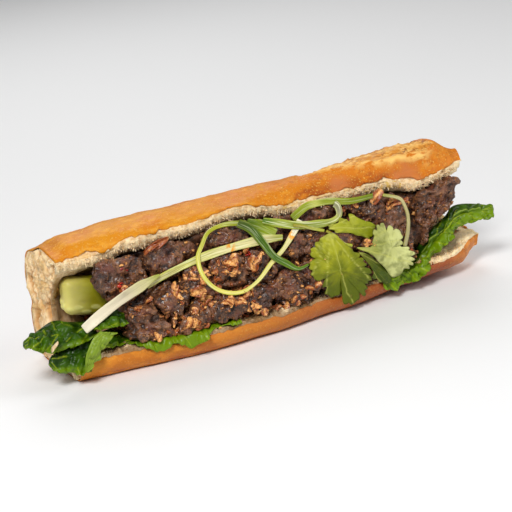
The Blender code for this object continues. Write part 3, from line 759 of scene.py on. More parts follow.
look = Finish(
    "cucumber flesh",
    {
        "Subsurface Weight": 0.35,
        "Subsurface Scale": 0.004,
        "Subsurface Radius": (0.9, 1.0, 0.2),
        "Specular IOR Level": 0.25,
    },
)
streaks = look.mottle(7, 1, (1.6, 1, 1))
flesh = look.coats(
    (0.20, 0.175, 0.004),
    ((0.27, 0.25, 0.006), streaks.between(0.35, 0.65)),
    # painted light on the lit end and lower side
    ((0.74, 0.66, 0.20), look.painted("painted_lit_face")),
    ((0.72, 0.70, 0.26), look.painted("seed") * 0.85),
)
wet = look.mottle(2.5, 2)
cucumber_finish = look.finish(flesh, 0.24 + 0.14 * wet, wet, 0.15)
cucumber = add_piece("cucumber_baton", points, faces, cucumber_finish, ["cucumber"])
points, normals = points_of(cucumber)
seeds = np.zeros(len(points))
for k in range(9):
    place = np.array((-20.5 + 4.9 * k, -half[1], -6.2 + 1.6 * math.sin(k * 2.4)))
    apart = (local - place) / (2.6, 2.4, 1.3)
    ring = np.linalg.norm(apart, axis=1)
    seeds = np.maximum(seeds, ease(1.3 - ring) * (0.45 + 0.55 * ease((ring - 0.5) / 0.3)))
for k, (y, z) in enumerate(((-3.5, -5), (0.5, -6.5), (3.5, -4), (-1.5, -2.5))):
    apart = (local - np.array((-half[0], y, z))) / (2.4, 1.2, 2.2)
    seeds = np.maximum(seeds, ease(1.25 - np.linalg.norm(apart, axis=1)))
move_points(cucumber, points + normals * (0.55 * seeds + 0.25 * wander(points, 5, 7))[:, None])
paint(cucumber, "seed", seeds)
# Painted light: paler towards the end at the loaf's cut end and more so low down, leaving the top darker in
# the lid's shade.
painted_lit_face = ease((-local[:, 0] - 6) / 17) * (0.6 + 0.4 * ease((6 - local[:, 2]) / 12))
paint(cucumber, "painted_lit_face", painted_lit_face)
keep_skin(cucumber)


# ---- The fried shallots, chilli and crumbs --------------------------------------------------------------
# Shallot rings fried crisp and golden brown, curled and broken, scattered over the beef with their finer
# crumbs, a few scraps of red chilli, and grains of the spice paste.

LAID_FROM = [math.radians(angle) for angle in (-22.0, 18.0)]  # azimuth and elevation that toppings face
FACING = np.array((
    -math.sin(LAID_FROM[0]) * math.cos(LAID_FROM[1]),
    math.cos(LAID_FROM[0]) * math.cos(LAID_FROM[1]),
    -math.sin(LAID_FROM[1]),
))
LAID_PLANE = -28.0  # Y of the plane that the X and Z of toppings and strips are given on
DROP_FROM = 90.0
DROP_TO = 60.0


def drop(point):
    """How far from the point along FACING the filling is met, or None."""
    start = Vector(point - FACING * DROP_FROM)
    hits = [skin.ray_cast(start, Vector(FACING), DROP_FROM + DROP_TO) for skin in skins]
    found = [hit[3] for hit in hits if hit[0] is not None]
    return min(found) - DROP_FROM if found else None


look = Finish("fried shallot", {"Specular IOR Level": 0.5})
browned = look.painted("browned")
speck = look.mottle(1.2, 3)
fried = look.coats(
    (0.92, 0.44, 0.12),
    ((0.30, 0.062, 0.012), browned.between(0.15, 0.9)),
    # painted highlights on the less browned parts
    ((0.94, 0.62, 0.28), speck.between(0.5, 0.66) * (1 - browned) * 0.6),
    ((0.22, 0.050, 0.010), (1 - speck).between(0.5, 0.64) * 0.7),
)
shallot_finish = look.finish(fried, 0.26, speck, 0.45)

FLAKE_STEPS = 12
FLAKE_RAILS = 5
FLAKE_THICKNESS = 0.7

flake_points, flake_faces, flake_brown = [], [], []
chance = random.Random(5)


def land(x, z):
    """Where a topping dropped at (x, z) on the strips' plane comes to rest, or None."""
    point = np.array((x, LAID_PLANE, z))
    depth = drop(point)
    return None if depth is None else point + FACING * depth


def axes_at(turn, lean):
    """A topping's own axes: along and across what it lies on, turned and tipped by angles, and out of it."""
    out = -FACING
    level = np.cross((0, 0, 1), out)
    level /= np.linalg.norm(level)
    spin = Matrix.Rotation(math.radians(turn), 3, out) @ Matrix.Rotation(math.radians(lean), 3, level)
    return np.array([spin @ Vector(axis) for axis in (level, np.cross(out, level), out)])


def add_flake(x, z, length, width, turn, lean, curl, brown):
    """A scrap of shallot ring: a crumpled ribbon bent through curl degrees, narrowing to its torn ends."""
    rest = land(x, z)
    if rest is None:
        return
    axes = axes_at(turn, lean)
    seed = chance.uniform(0, 50)
    bend = math.radians(curl)
    radius = length / bend
    first = len(flake_points)
    for i in range(FLAKE_STEPS + 1):
        share = i / FLAKE_STEPS
        angle = (share - 0.5) * bend
        torn_end = math.sin(math.pi * (0.08 + 0.84 * share)) ** 0.6
        trim = torn_end * (1 + 0.5 * noise.noise((share * 3, seed, 0)))
        arch = radius * (math.cos(angle) - math.cos(bend / 2))
        for k in range(FLAKE_RAILS):
            side = (k / (FLAKE_RAILS - 1) - 0.5) * width * trim
            ruck = width * 0.3 * noise.noise((share * 3 + seed, side * 0.4, seed))
            cup = 0.9 * side * side / width
            spot = (radius * math.sin(angle) + ruck * 0.5, side + arch * 0.5, arch * 0.6 + ruck + cup + 0.5)
            flake_points.append(rest + np.array(spot) @ axes)
            uneven = 0.5 * noise.noise((share * 2, seed, side)) + 0.3 * abs(side)
            flake_brown.append(min(1, max(0, brown + uneven)))
    flake_faces.extend(grid_faces(FLAKE_STEPS + 1, FLAKE_RAILS, first))


# Each row is where a knot of flakes lies (x, z), how far it spreads, how many there are, how long and
# how brown.
for x, z, spread_x, spread_z, count, length, brown in (
    (-58.5, 33.5, 3.5, 3, 3, 8, 0.3), (-57, 28, 3, 2, 4, 7, 0.45), (-61, 37, 2, 2, 2, 7, 0.5),
    (-72, 39.5, 1.5, 3, 3, 6.5, 0.3), (-69.5, 30.5, 2, 2, 3, 5, 0.3),
    (-72, 22.5, 2, 2.5, 3, 6, 0.35), (-65, 18.5, 4, 3, 6, 7, 0.35), (-60, 15.5, 3, 2, 3, 6.5, 0.45),
    (-86, 15, 3, 1.5, 3, 8, 0.2), (-68.5, 45.5, 2, 2.5, 3, 5, 0.4), (-50.5, 36, 3, 3, 4, 7, 0.45),
    (-47, 41.5, 3, 3, 4, 5.5, 0.5), (-38, 47.5, 1.2, 2.5, 2, 10, 0.15),
    (-37, 43, 1.5, 2, 2, 8, 0.3), (-24.5, 46.5, 1.2, 2, 2, 8, 0.4), (-24, 42, 1.5, 2, 2, 8, 0.35),
    (-41, 26.5, 4, 2, 5, 8, 0.3), (-34, 25.5, 3, 2, 3, 7, 0.4), (-37.5, 32, 2, 2, 2, 8, 0.1),
    (-31, 30.5, 2, 1.5, 2, 6, 0.3), (-53.5, 47.5, 1.5, 2, 2, 5.5, 0.2),
    (-49.5, 44.5, 1.5, 2, 2, 5, 0.4), (-30.5, 17, 5, 4, 6, 8, 0.25), (-22, 15.5, 4, 2, 4, 7, 0.35),
    (-15, 14.5, 6, 1.5, 5, 6, 0.45), (-1, 17, 5, 2, 3, 5, 0.6), (12.3, 21.5, 1.5, 2, 2, 6, 0.2),
    (5, 19.5, 4, 2, 3, 5, 0.7), (46.6, 40, 1.5, 1.5, 3, 5.5, 0.2), (40.5, 64, 0.8, 1.5, 2, 8, 0.45),
    (61.5, 60, 1.5, 3, 2, 7, 0.5), (66.5, 58, 1, 3, 2, 8, 0.4), (-130, 37, 1.5, 2, 3, 5.5, 0.55),
    (-97, 35.5, 2, 2, 2, 6, 0.6), (-90, 38.5, 2, 2, 2, 6, 0.5), (-103, 47, 3, 3, 2, 6, 0.6),
    (-60, 47, 4, 4, 4, 5, 0.5), (-80, 24, 4, 4, 3, 5.5, 0.5), (-77, 16, 3, 2, 2, 6, 0.4),
    (-30, 53, 4, 3, 3, 5, 0.5), (-20, 60, 3, 3, 2, 5, 0.7), (34, 62, 3, 3, 2, 6, 0.6),
    (76, 60, 3, 3, 2, 5, 0.5), (-56, 43, 4, 3, 4, 5, 0.45), (-44, 49, 3, 2, 2, 5, 0.5),
    (-66, 26, 3, 3, 3, 5.5, 0.4),
):
    for _ in range(count):
        spot = (x + chance.uniform(-1, 1) * spread_x, z + chance.uniform(-1, 1) * spread_z)
        size = length * chance.uniform(0.7, 1.15)
        breadth = size * chance.uniform(0.35, 0.65)
        turn, lean = chance.uniform(0, 360), chance.uniform(-45, 45)
        curl = chance.uniform(50, 200)
        add_flake(*spot, size, breadth, turn, lean, curl, brown + chance.uniform(-0.25, 0.25))
for flake in (
    (-59, 33, 14, 7.5, 70, 15, 120, 0.05),
    (-56.5, 29, 11, 6, 40, -20, 100, 0.2),
    (-60.5, 36.5, 10, 5, 10, 25, 90, 0.15),
    (-37.5, 46.5, 14, 6, 80, 10, 70, 0.1),
    (-24.5, 45.5, 12, 5, 80, -10, 80, 0.35),
    (-37.5, 31.5, 11, 6, 75, 20, 80, 0.05),
    (-72.5, 39, 9, 4.5, 75, -20, 90, 0.3),
    (-81.5, 68.5, 17, 4.2, 26, 20, 55, 0.55),
    (-84.5, 66.5, 10, 3, 30, -20, 50, 0.75),
    (55, 66, 10, 6, 48, 10, 40, 0.2),
):
    add_flake(*flake)
flakes = add_piece("shallot_flakes", flake_points, flake_faces, shallot_finish)
paint(flakes, "browned", flake_brown)
keep_skin(flakes)
thicken(flakes, FLAKE_THICKNESS, rounded=True)


def scatter(name, count, seed, places, sizes, finish):
    """Irregular bits dropped over the (x, z) places, joined into one piece."""
    bm = bmesh.new()
    bmesh.ops.create_icosphere(bm, subdivisions=2, radius=1)
    ball, ball_faces = emptied(bm)
    ball_faces = np.array(ball_faces)
    draw = random.Random(seed)
    points, faces = [], []
    while len(points) < count:
        x, z, spread_x, spread_z = draw.choice(places)
        rest = land(x + draw.uniform(-1, 1) * spread_x, z + draw.uniform(-1, 1) * spread_z)
        size = draw.uniform(*sizes) * draw.uniform(0.5, 1)
        spin = np.array(Matrix.Rotation(draw.uniform(0, 6), 3, (draw.random(), draw.random(), 1)))
        shape = np.array((1, draw.uniform(0.5, 0.9), draw.uniform(0.35, 0.7)))
        if rest is None:
            continue
        lumps = np.array([1 + 0.9 * noise.noise((spot * 2.1 + len(points) * 3.1).tolist()) for spot in ball])
        faces.append(ball_faces + len(points) * len(ball))
        points.append(rest - FACING * size * 0.2 + (ball * shape * lumps[:, None] * size) @ spin)
    return add_piece(name, np.concatenate(points), np.concatenate(faces).tolist(), finish)


CRUMBS = 240
HEAP = [(x, z, 9, 9) for x in range(-108, 90, 9) for z in (22, 34, 46, 58)]
FRIED = [
    (-60, 30, 16, 12), (-36, 26, 12, 8), (-30, 45, 12, 10),
    (-62, 22, 14, 10), (-50, 42, 12, 10), (-75, 36, 12, 10),
]
crumbs = scatter("shallot_crumbs", CRUMBS, 7, FRIED * 8 + HEAP, (0.5, 1.9), shallot_finish)
crumb_brown = [chance.uniform(0.1, 1) for _ in range(CRUMBS)]
paint(crumbs, "browned", np.repeat(crumb_brown, len(crumbs.data.vertices) // CRUMBS))

look = Finish("spice paste", {"Specular IOR Level": 0.5})
tone = look.mottle(3, 3)
ground = look.coats((0.085, 0.028, 0.012), ((0.36, 0.135, 0.035), tone.between(0.38, 0.66)))
paste_finish = look.finish(ground, 0.3, tone, 0.3)
scatter("spice_grains", 900, 9, HEAP + [(97, 48, 13, 11)] * 14, (0.4, 1.5), paste_finish)

look = Finish("red chilli", {"Specular IOR Level": 0.6})
flush = look.mottle(2, 2).between(0.4, 0.6)
red = look.coats((0.22, 0.006, 0.004), ((0.50, 0.035, 0.008), flush))
chilli_finish = look.finish(red, 0.25, look.mottle(1, 2), 0.2)
CHILLI = [(-105.3, 51.3, 1.6, 1.4)] * 2 + [
    (54.1, 14.3, 2.6, 0.5), (-102, 60, 2, 2), (-28, 51, 1, 1), (92, 30, 3, 3),
]
scatter("chilli_bits", 16, 12, CHILLI, (1.2, 2.2), chilli_finish)


# ---- The lettuce ----------------------------------------------------------------------------------------
# Three cos lettuce leaves under the filling: two stick out at the cut end and one at the tip. The blades are
# crinkled between pale veins, glossy and dark, brighter and frilled along their edges.

LEAF_FINE_ALONG = 9
LEAF_FINE_ACROSS = 48
LEAF_THICKNESS = 0.5


def from_lip(x, reach, lift):
    """The point reach inwards from the base's lip (below 0: down its crust), and lift off the bread."""
    outline = smooth_closed(loaf_section(x), 4)
    step = -1 if reach > 0 else 1
    left, at = abs(reach), 0
    while True:
        here, there = outline[at % len(outline)], outline[(at + step) % len(outline)]
        run = np.linalg.norm(there - here)
        if run >= left:
            break
        left -= run
        at += step
    skin_run = (there - here) / run * -step
    place = here + (there - here) * (left / run) - np.array((skin_run[1], -skin_run[0])) * lift
    return in_loaf(np.array([[x, *place]]))[0]


def smooth_open(points, pieces):
    """A Catmull-Rom curve through the points, as rows of any shape."""
    rows = np.asarray(points, float)
    rows = np.concatenate(([2 * rows[0] - rows[1]], rows, [2 * rows[-1] - rows[-2]]))
    made = []
    for before, start, end, after in zip(rows, rows[1:], rows[2:], rows[3:]):
        for t in np.arange(pieces) / pieces:
            bend = (2 * before - 5 * start + 4 * end - after) * t**2
            turn = (3 * start - before - 3 * end + after) * t**3
            made.append(0.5 * (2 * start + (end - before) * t + bend + turn))
    return np.array(made + [rows[-2]])


def leaf_rows(rows):
    """A leaf's control points. Rows (x, inwards, outwards) lie on the bread, (inner, outer) hang free."""
    grid = []
    for number, row in enumerate(rows):
        wave = 0.5 + 0.5 * math.sin(number * 1.9)
        if len(row) == 3:
            x, inwards, outwards = row
            edge = min(inwards - 3, -outwards)
            rim = max(edge, 0)
            across = []
            for reach in (inwards, towards(inwards, rim, 0.5), rim + 1.3, rim, edge - 0.4):
                over = min(1, max(0, (4 - reach) / 4)) ** 2
                across.append(from_lip(x, reach, 0.9 + (0.9 + 1.3 * wave) * over))
        else:
            inner, outer = (np.array(end, float) for end in row)
            share = np.linspace(0, 1, 5)[:, None]
            bulge = 18 * min(1, np.linalg.norm(outer - inner) / 18) ** 2
            camber = bulge * share * (1 - share) + 1.3 * wave * share**3
            across = inner + (outer - inner) * share - FACING * camber
        grid.append(across)
    return grid


def spread_leaf(rows):
    """The leaf as a fine grid, with each point's share along and across it."""
    grid = smooth_open(leaf_rows(rows), LEAF_FINE_ALONG)
    fine = [evenly(smooth_open(across, 6), LEAF_FINE_ACROSS) for across in grid]
    across = np.linspace(0, 1, LEAF_FINE_ACROSS)
    shares = np.array([(i / (len(fine) - 1), share) for i in range(len(fine)) for share in across])
    return np.concatenate(fine), shares, len(fine)


look = Finish("cos lettuce", {"Specular IOR Level": 0.22})
cells = look.mottle(2.4, 2)
green = look.coats(
    (0.010, 0.036, 0.0005),
    ((0.040, 0.105, 0.001), look.mottle(8, 3).between(0.35, 0.65)),
    ((0.150, 0.250, 0.002), look.painted("bright")),
    ((0.34, 0.42, 0.010), look.painted("vein") * 0.8),
    ((0.27, 0.37, 0.045), look.painted("rib")),
    # painted shade in the creases
    ((0.006, 0.024, 0.001), look.painted("painted_crease_shade") * 0.7),
)
relief = 0.7 * cells + 0.3 * look.mottle(0.8, 2)
lettuce_finish = look.finish(green, 0.27 + 0.16 * cells, relief, 0.2)


def make_leaf(name, rows, veins, rib, bright, seed, stands_for=None, crinkle=(1, 1)):
    """A leaf; veins, rib and bright are functions of its shares that say where it is veined, ribbed or pale.

    The crinkle is how rough it is at its first row and at its last.
    """
    points, shares, count = spread_leaf(rows)
    nodes = [name] if stands_for is None else stands_for
    faces = grid_faces(count, LEAF_FINE_ACROSS)
    leaf = add_piece(name + "_leaf", points, faces, lettuce_finish, nodes)
    points, normals = points_of(leaf)
    u, v = shares.T
    long = u * count / LEAF_FINE_ALONG
    vein = veins(long, v) * ease((wander(points, 8, seed + 2, 2) + 0.25) / 0.3)
    frill = np.sin(long * 5.2 + 2.2 * np.sin(long * 1.7)) * ease((v - 0.6) / 0.4) * 1.7
    quilt = np.abs(wander(points, 7.5, seed, 2))
    pucker = np.abs(wander(points, 3.2, seed + 5, 2))
    lift = 4.4 * quilt + 1.3 * pucker + frill + 0.3 * vein - 1.4
    lift *= ease(v / 0.25) * (crinkle[0] + (crinkle[1] - crinkle[0]) * ease((long - 5) / 3))
    # Painted shade in the troughs between the crinkles.
    painted_crease_shade = ease(1 - quilt / 0.09)
    scallop = ease((v - 0.8) / 0.2) * (1.1 * wander(points, 2.8, seed + 1, 2))
    outer = np.roll(points.reshape(count, -1, 3), 3, axis=1).reshape(-1, 3)
    reach = points - outer
    reach /= np.maximum(np.linalg.norm(reach, axis=1), 1e-6)[:, None]
    move_points(leaf, points + normals * lift[:, None] + reach * (scallop * (v > 0.5))[:, None])
    paint(leaf, "painted_crease_shade", painted_crease_shade * (1 - vein) * max(0, 1.5 * crinkle[1] - 0.5))
    paint(leaf, "vein", vein)
    paint(leaf, "rib", rib(long, v))
    paint(leaf, "bright", bright(long, v))
    thicken(leaf, LEAF_THICKNESS)
    keep_skin(leaf)


VEIN_WIDTH = 0.045


def branching(spacing, slant):
    """Side veins that leave a midrib at the leaf's middle, slanting towards its tip."""

    def shape(long, v):
        apart = np.abs(v - 0.55)
        wave = (long - slant * apart * 2) / spacing
        side = np.abs(wave - np.round(wave)) * spacing
        return np.clip(np.maximum(ease(1 - side / VEIN_WIDTH / 2), ease(1 - apart / 0.03)), 0, 1)

    return shape


def nowhere(long, v):
    return np.zeros(len(v))


def frilled(long, v):
    return ease((v - 0.78) / 0.2) * 0.75


UPPER_LEFT = (
    ((-116, -7, 27), (-119, -22, 23)),
    ((-125, -10, 29.5), (-131, -25, 22.5)),
    ((-134, -14, 33), (-141, -27, 22)),
    ((-138, -13, 34.5), (-149, -29, 23)),
    ((-143, -14, 35), (-154.7, -28, 25)),
    ((-150.8, -16, 32.7), (-158.8, -26, 27.5)),
    ((-160.5, -20, 30.5), (-162.2, -22.5, 26.9)),
)
make_leaf("lettuce_upper_left", UPPER_LEFT, branching(1.3, 1.2), nowhere, frilled, 31)

LOWER_LEFT = [
    ((-148.7, -24, 18.8), (-150.5, -26, 15.2)),
    ((-141, -20, 21.5), (-147.7, -28, 11.6)),
    ((-131.5, -17, 23.5), (-141.5, -29, 9.6)),
    ((-122, -15, 23), (-137, -31.5, 8)),
    ((-114, -13, 22), (-131.6, -33, 9.1)),
    ((-109, -11, 21.5), (-121.2, -34, 19)),
]
HANGING = (
    (-106, -6), (-101, -2.5), (-97, 0.5), (-89, 3.5), (-80, 0.5),
    (-71, 4.5), (-62, 1.5), (-55, -2.5), (-44, -1), (-39, -1),
)
for x in (*range(-105, -44, 5), -41.5, -39):
    LOWER_LEFT.append((x, along(x, (-105, 25), (-85, 22), (-50, 16), (-39, 14)), along(x, *HANGING)))


def pale_fold(long, v):
    return ease(1 - np.abs(long - 4.6) / 0.75) * ease((v - 0.3) / 0.3) * 0.9


def lit_edge(long, v):
    return np.clip(ease((v - 0.8) / 0.12) * 0.8 + ease((long - 7) / 2) * ease((v - 0.35) / 0.3) * 0.9, 0, 1)


make_leaf("lettuce_lower_left", LOWER_LEFT, branching(1.9, 1.6), pale_fold, lit_edge, 41, crinkle=(1, 0.4))

RIGHT = []
for x in range(55, 87, 6):
    inwards = along(x, (55, 8), (70, 16), (87, 18))
    RIGHT.append((x, inwards, along(x, (55, 3.5), (62, 5), (79, 4), (87, 2))))
RIGHT += [
    ((95, -9, 31), (93, -19, 17.5)),
    ((101, -10, 34), (99, -19, 22)),
    ((107.5, -10, 38), (104.5, -19, 26)),
    ((112.5, -9, 42), (109.5, -18, 30)),
    ((120, -8, 42), (117, -17, 32)),
    ((131, -8, 39.5), (127, -16, 32)),
    ((140, -9, 36.5), (136, -15, 31)),
]


def lower_lobe(long, v):
    return np.clip(ease((v - 0.34) / 0.4) * 0.95 + ease((long - 9.5) / 3) * 0.45, 0, 1)


def midrib(long, v):
    return ease(1.4 - np.abs(v - 0.42) / 0.022) * 0.8


make_leaf("lettuce_right", RIGHT, branching(1.25, 1.4), midrib, lower_lobe, 51)

# Further lobes of the lower left leaf: one folded over to its pale underside, one standing behind it.
FOLDED_LOBE = (
    ((-121.4, -34, 30.2), (-111.6, -33, 26.6)),
    ((-125.9, -35, 28.0), (-116.5, -34.5, 25.0)),
    ((-129.6, -36, 23.7), (-120.8, -36, 20.9)),
    ((-132.5, -36.5, 18.1), (-125.4, -36.5, 16.2)),
    ((-133.6, -36, 10.2), (-131.8, -36, 9.6)),
)


def underside(long, v):
    return 0.62 + 0.38 * np.clip(ease(1 - v / 0.12) + ease((v - 0.86) / 0.1), 0, 1)


def fanned(long, v):
    slant = np.abs((v - 0.5) * 6 + long * 0.3)
    return ease(1 - np.abs(slant - np.round(slant)) / 0.14) * 0.9


def flushed(long, v):
    return np.full(len(v), 0.45)


make_leaf("lettuce_fold", FOLDED_LOBE, fanned, flushed, underside, 57, (), (0.6, 0.6))
INNER_LOBE = (
    ((-121, -17, 33), (-122, -26, 28.5)),
    ((-115, -17, 34.5), (-116, -28, 28)),
    ((-108, -18, 35.5), (-109, -29, 29)),
    ((-102, -20, 33), (-104, -29, 28)),
)
make_leaf("lettuce_inner", INNER_LOBE, fanned, nowhere, frilled, 63, ())

# The cut foot of the lower left leaf's rib stands out between its lobes.
RIB_RINGS = 12
RIB_AROUND = 13
RIB_FOOT = np.array((-149.4, -33.0, 26.2))
RIB_TOP = np.array((-145.0, -30.5, 28.4))

spokes = np.linspace(0, 2 * math.pi, RIB_AROUND + 1)[:-1]
rings = []
for share in np.linspace(0, 1, RIB_RINGS):
    spread = (2.1 - 0.6 * share) * (1 if share > 0.02 else 0.8)
    wheel = np.column_stack((0.25 * np.sin(spokes), np.cos(spokes), np.sin(spokes) * 0.75)) * spread
    rings.append(RIB_FOOT + (RIB_TOP - RIB_FOOT) * share + wheel)
look = Finish("cut leaf rib", {"Specular IOR Level": 0.4})
pith = look.coats((0.66, 0.45, 0.24), ((0.80, 0.62, 0.38), look.mottle(1.5, 3).between(0.4, 0.6)))
rib_faces = tube_faces(RIB_RINGS, RIB_AROUND)
add_piece("lettuce_rib", np.concatenate(rings), rib_faces, look.finish(pith, 0.4))


# ---- The spring onion -----------------------------------------------------------------------------------
# Strips shaved lengthwise from spring onions, white near the root and green towards the leaf, and curled in
# cold water. They lie over the beef in the order given, each resting on what is under it.

ONION_STEP = 1.3
ONION_RAILS = 5
ONION_THICKNESS = 0.8
UNSEEN = 1e3  # the depth kept for a point that nothing is under


def lay(points, neighbours, clearance, rounds=80):
    """Moves the points in until they rest on the filling, stretched taut between its high spots."""
    depths = [drop(point) for point in points]
    known = np.mean([depth for depth in depths if depth is not None])
    limits = np.array([UNSEEN if depth is None else depth - clearance for depth in depths])
    now = np.where(limits < UNSEEN, limits, known)
    for _ in range(rounds):
        now = np.minimum(limits, now[neighbours].mean(axis=1))
    return points + FACING * now[:, None]


def strip_neighbours(rows, columns):
    """The six points that each point of a strip is drawn towards: four along it, and two across."""
    near = []
    for i in range(rows):
        for k in range(columns):
            sides = [(i - 1, k), (i + 1, k), (i - 2, k), (i + 2, k), (i, k - 1), (i, k + 1)]
            near.append([min(rows - 1, max(0, a)) * columns + min(columns - 1, max(0, b)) for a, b in sides])
    return np.array(near)


look = Finish("spring onion", {"Specular IOR Level": 0.25})
place = look.node(
    "CombineXYZ", {}, {0: look.painted("across") * 6, 1: look.painted("run") * 0.06, 2: 0.0}
)
fibre = look.node(
    "TexNoise", {"noise_dimensions": "2D"}, {"Vector": place, "Scale": 1.0, "Detail": 3.0}, "Fac"
)
stripes = look.painted("stripes")
striped = look.coats(
    look.painted("tint", "Color"),
    ((0.78, 0.80, 0.50), fibre.between(0.5, 0.68) * stripes),
    ((0.16, 0.22, 0.008), (1 - fibre).between(0.54, 0.7) * stripes * 0.6),
    ((0.46, 0.50, 0.02), look.painted("margin") * 0.6),
    ((0.85, 0.36, 0.03), look.painted("stain") * look.mottle(2.5, 2).between(0.42, 0.55)),
)
onion_finish = look.finish(striped, 0.28 + 0.2 * fibre, fibre, 0.25)


def tint(piece, colours):
    """Keeps a colour for each point, for the finish to read."""
    layer = piece.data.color_attributes.new("tint", "FLOAT_COLOR", "POINT")
    layer.data.foreach_set("color", np.column_stack((colours, np.ones(len(colours)))).ravel())


def make_strip(
    name, path, widths, tints, stripes, nodes,
    clearance=0.9, thickness=ONION_THICKNESS, stains=(),
):
    """A ribbon along the (x, z) path. Widths and tints are given at shares of its run."""
    knots = np.array([(x, LAID_PLANE, z) for x, z in path])
    line = smooth_open(knots, 12)
    length = np.linalg.norm(np.diff(line, axis=0), axis=1).sum()
    count = max(8, round(length / ONION_STEP))
    line = evenly(line, count)
    run = np.gradient(line, axis=0)
    side = np.stack((-run[:, 2], run[:, 1] * 0, run[:, 0]), axis=1)
    side /= np.linalg.norm(side, axis=1)[:, None]
    share = np.linspace(0, 1, count)
    width = along(share, *widths) * (1 + 0.06 * np.sin(share * length / 5))
    offsets = np.linspace(-0.5, 0.5, ONION_RAILS)
    flat = (line[:, None, :] + side[:, None, :] * (width[:, None] * offsets)[:, :, None]).reshape(-1, 3)
    points = lay(flat, strip_neighbours(count, ONION_RAILS), clearance)
    breadths = np.repeat(width / 5, ONION_RAILS)
    cup = 0.35 * np.tile((offsets * 2) ** 2, count) * breadths
    points = points - FACING * cup[:, None]
    strip = add_piece(name, points, grid_faces(count, ONION_RAILS), onion_finish, nodes)
    shades = [along(share, *((place, colour[k]) for place, colour in tints)) for k in range(3)]
    tint(strip, np.repeat(np.column_stack(shades), ONION_RAILS, axis=0))
    paint(strip, "across", np.tile(offsets, count) * breadths)
    paint(strip, "run", np.repeat(share * length, ONION_RAILS))
    paint(strip, "stripes", np.full(count * ONION_RAILS, stripes))
    paint(strip, "margin", np.tile(ease(np.abs(offsets) * 4 - 1), count) * stripes)
    stained = np.zeros(count)
    for place, spread in stains:
        stained = np.maximum(stained, ease(1.4 - np.abs(share - place) / spread))
    paint(strip, "stain", np.repeat(stained, ONION_RAILS))
    keep_skin(strip)
    thicken(strip, thickness, rounded=True)


WHITE = (0.84, 0.76, 0.58)
CREAM = (0.74, 0.66, 0.30)
OLIVE = (0.19, 0.24, 0.01)
DARK = (0.040, 0.105, 0.003)
FADED = (0.30, 0.28, 0.18)

make_strip(
    "onion_short_strip",
    ((-27, 69), (-18, 64), (-10, 58.5)),
    ((0, 5.5), (0.5, 8.5), (1, 6)),
    ((0, (0.08, 0.15, 0.006)), (0.8, (0.24, 0.31, 0.01)), (1, (0.33, 0.39, 0.05))),
    0.25, ["onion_short"],
)
make_strip(
    "onion_long_strip",
    ((-90, 46.5), (-83, 49), (-76, 51), (-63, 54), (-50, 56), (-32, 57), (-19, 57), (-6, 55.5)),
    ((0, 3.4), (0.2, 4.2), (0.5, 5.2), (0.85, 5.6), (1, 3.6)),
    ((0, (0.56, 0.50, 0.17)), (0.3, (0.62, 0.58, 0.18)), (0.6, (0.78, 0.70, 0.34)),
     (0.85, CREAM), (1, (0.36, 0.38, 0.05))),
    0.7, ["onion_long"], stains=((0.62, 0.03),),
)
make_strip(
    "onion_long_root",
    ((-129, 31), (-120, 36), (-110, 41), (-100, 45), (-89, 49), (-81.5, 51.5)),
    ((0, 6.2), (0.3, 6.8), (0.75, 6.4), (0.92, 3.4), (1, 1.2)),
    ((0, WHITE), (0.5, (0.80, 0.70, 0.50)), (0.8, (0.62, 0.56, 0.28)), (1, (0.36, 0.38, 0.06))),
    0.12, [], clearance=1.6,
)
make_strip(
    "onion_loop_strip",
    ((-27, 69), (-40, 71), (-50, 69), (-55, 62), (-58, 56), (-57, 47), (-52, 38), (-44, 32), (-34, 30),
     (-24, 34), (-15, 42), (-6, 49), (1, 57), (6, 63)),
    ((0, 3.0), (0.15, 2.5), (0.3, 2.5), (0.6, 2.3), (0.85, 2.9), (0.93, 4.2), (1, 4.4)),
    ((0, OLIVE), (0.15, (0.40, 0.40, 0.02)), (0.35, (0.72, 0.66, 0.12)), (0.7, (0.76, 0.68, 0.16)),
     (0.9, CREAM), (0.94, WHITE), (1, WHITE)),
    0.5, ["onion_loop"], stains=((0.925, 0.02),),
)
make_strip(
    "onion_dark_strip",
    ((-32, 70), (-25, 65), (-19, 56), (-13, 46), (-6, 40), (1, 35), (8, 36)),
    ((0, 5), (0.3, 5), (0.7, 3.8), (1, 1.6)),
    ((0, (0.05, 0.085, 0.006)), (0.3, DARK), (1, (0.07, 0.17, 0.008))),
    0.35, ["onion_dark"],
)
make_strip(
    "onion_under_lid_strip",
    ((1, 65), (8, 69), (13, 70.5), (25, 70), (39, 67), (53, 67)),
    ((0, 5), (0.4, 4.4), (1, 3.2)),
    ((0, OLIVE), (0.2, (0.27, 0.32, 0.015)), (0.3, (0.50, 0.52, 0.10)), (0.42, (0.27, 0.32, 0.02)),
     (1, (0.15, 0.20, 0.01))),
    0.3, ["onion_under_lid"],
)
make_strip(
    "onion_folded_strip",
    ((-17, 68), (-7, 64), (5, 60), (18, 58), (26, 58), (30.5, 60.5), (30, 66), (28, 68)),
    ((0, 3.5), (0.2, 5), (0.6, 5), (0.75, 3.6), (1, 4.6)),
    ((0, (0.07, 0.16, 0.008)), (0.2, (0.30, 0.36, 0.05)), (0.6, (0.36, 0.42, 0.08)),
     (0.8, (0.52, 0.54, 0.16)), (0.9, FADED), (1, FADED)),
    0.8, ["onion_folded"],
)
make_strip(
    "onion_stalk_strip",
    ((59, 66), (69, 62), (72, 58), (74, 50), (73, 41), (70, 32)),
    ((0, 1.8), (1, 2.4)),
    ((0, (0.34, 0.34, 0.08)), (0.3, (0.52, 0.44, 0.20)), (1, (0.38, 0.32, 0.16))),
    0.3, ["onion_stalk"], thickness=1.4,
)


# ---- The coriander --------------------------------------------------------------------------------------
# Two sprigs laid on last: thin stems that fork, and soft fan-shaped leaflets cut into rounded teeth, with
# veins that spread from where the leaflet joins its stem.

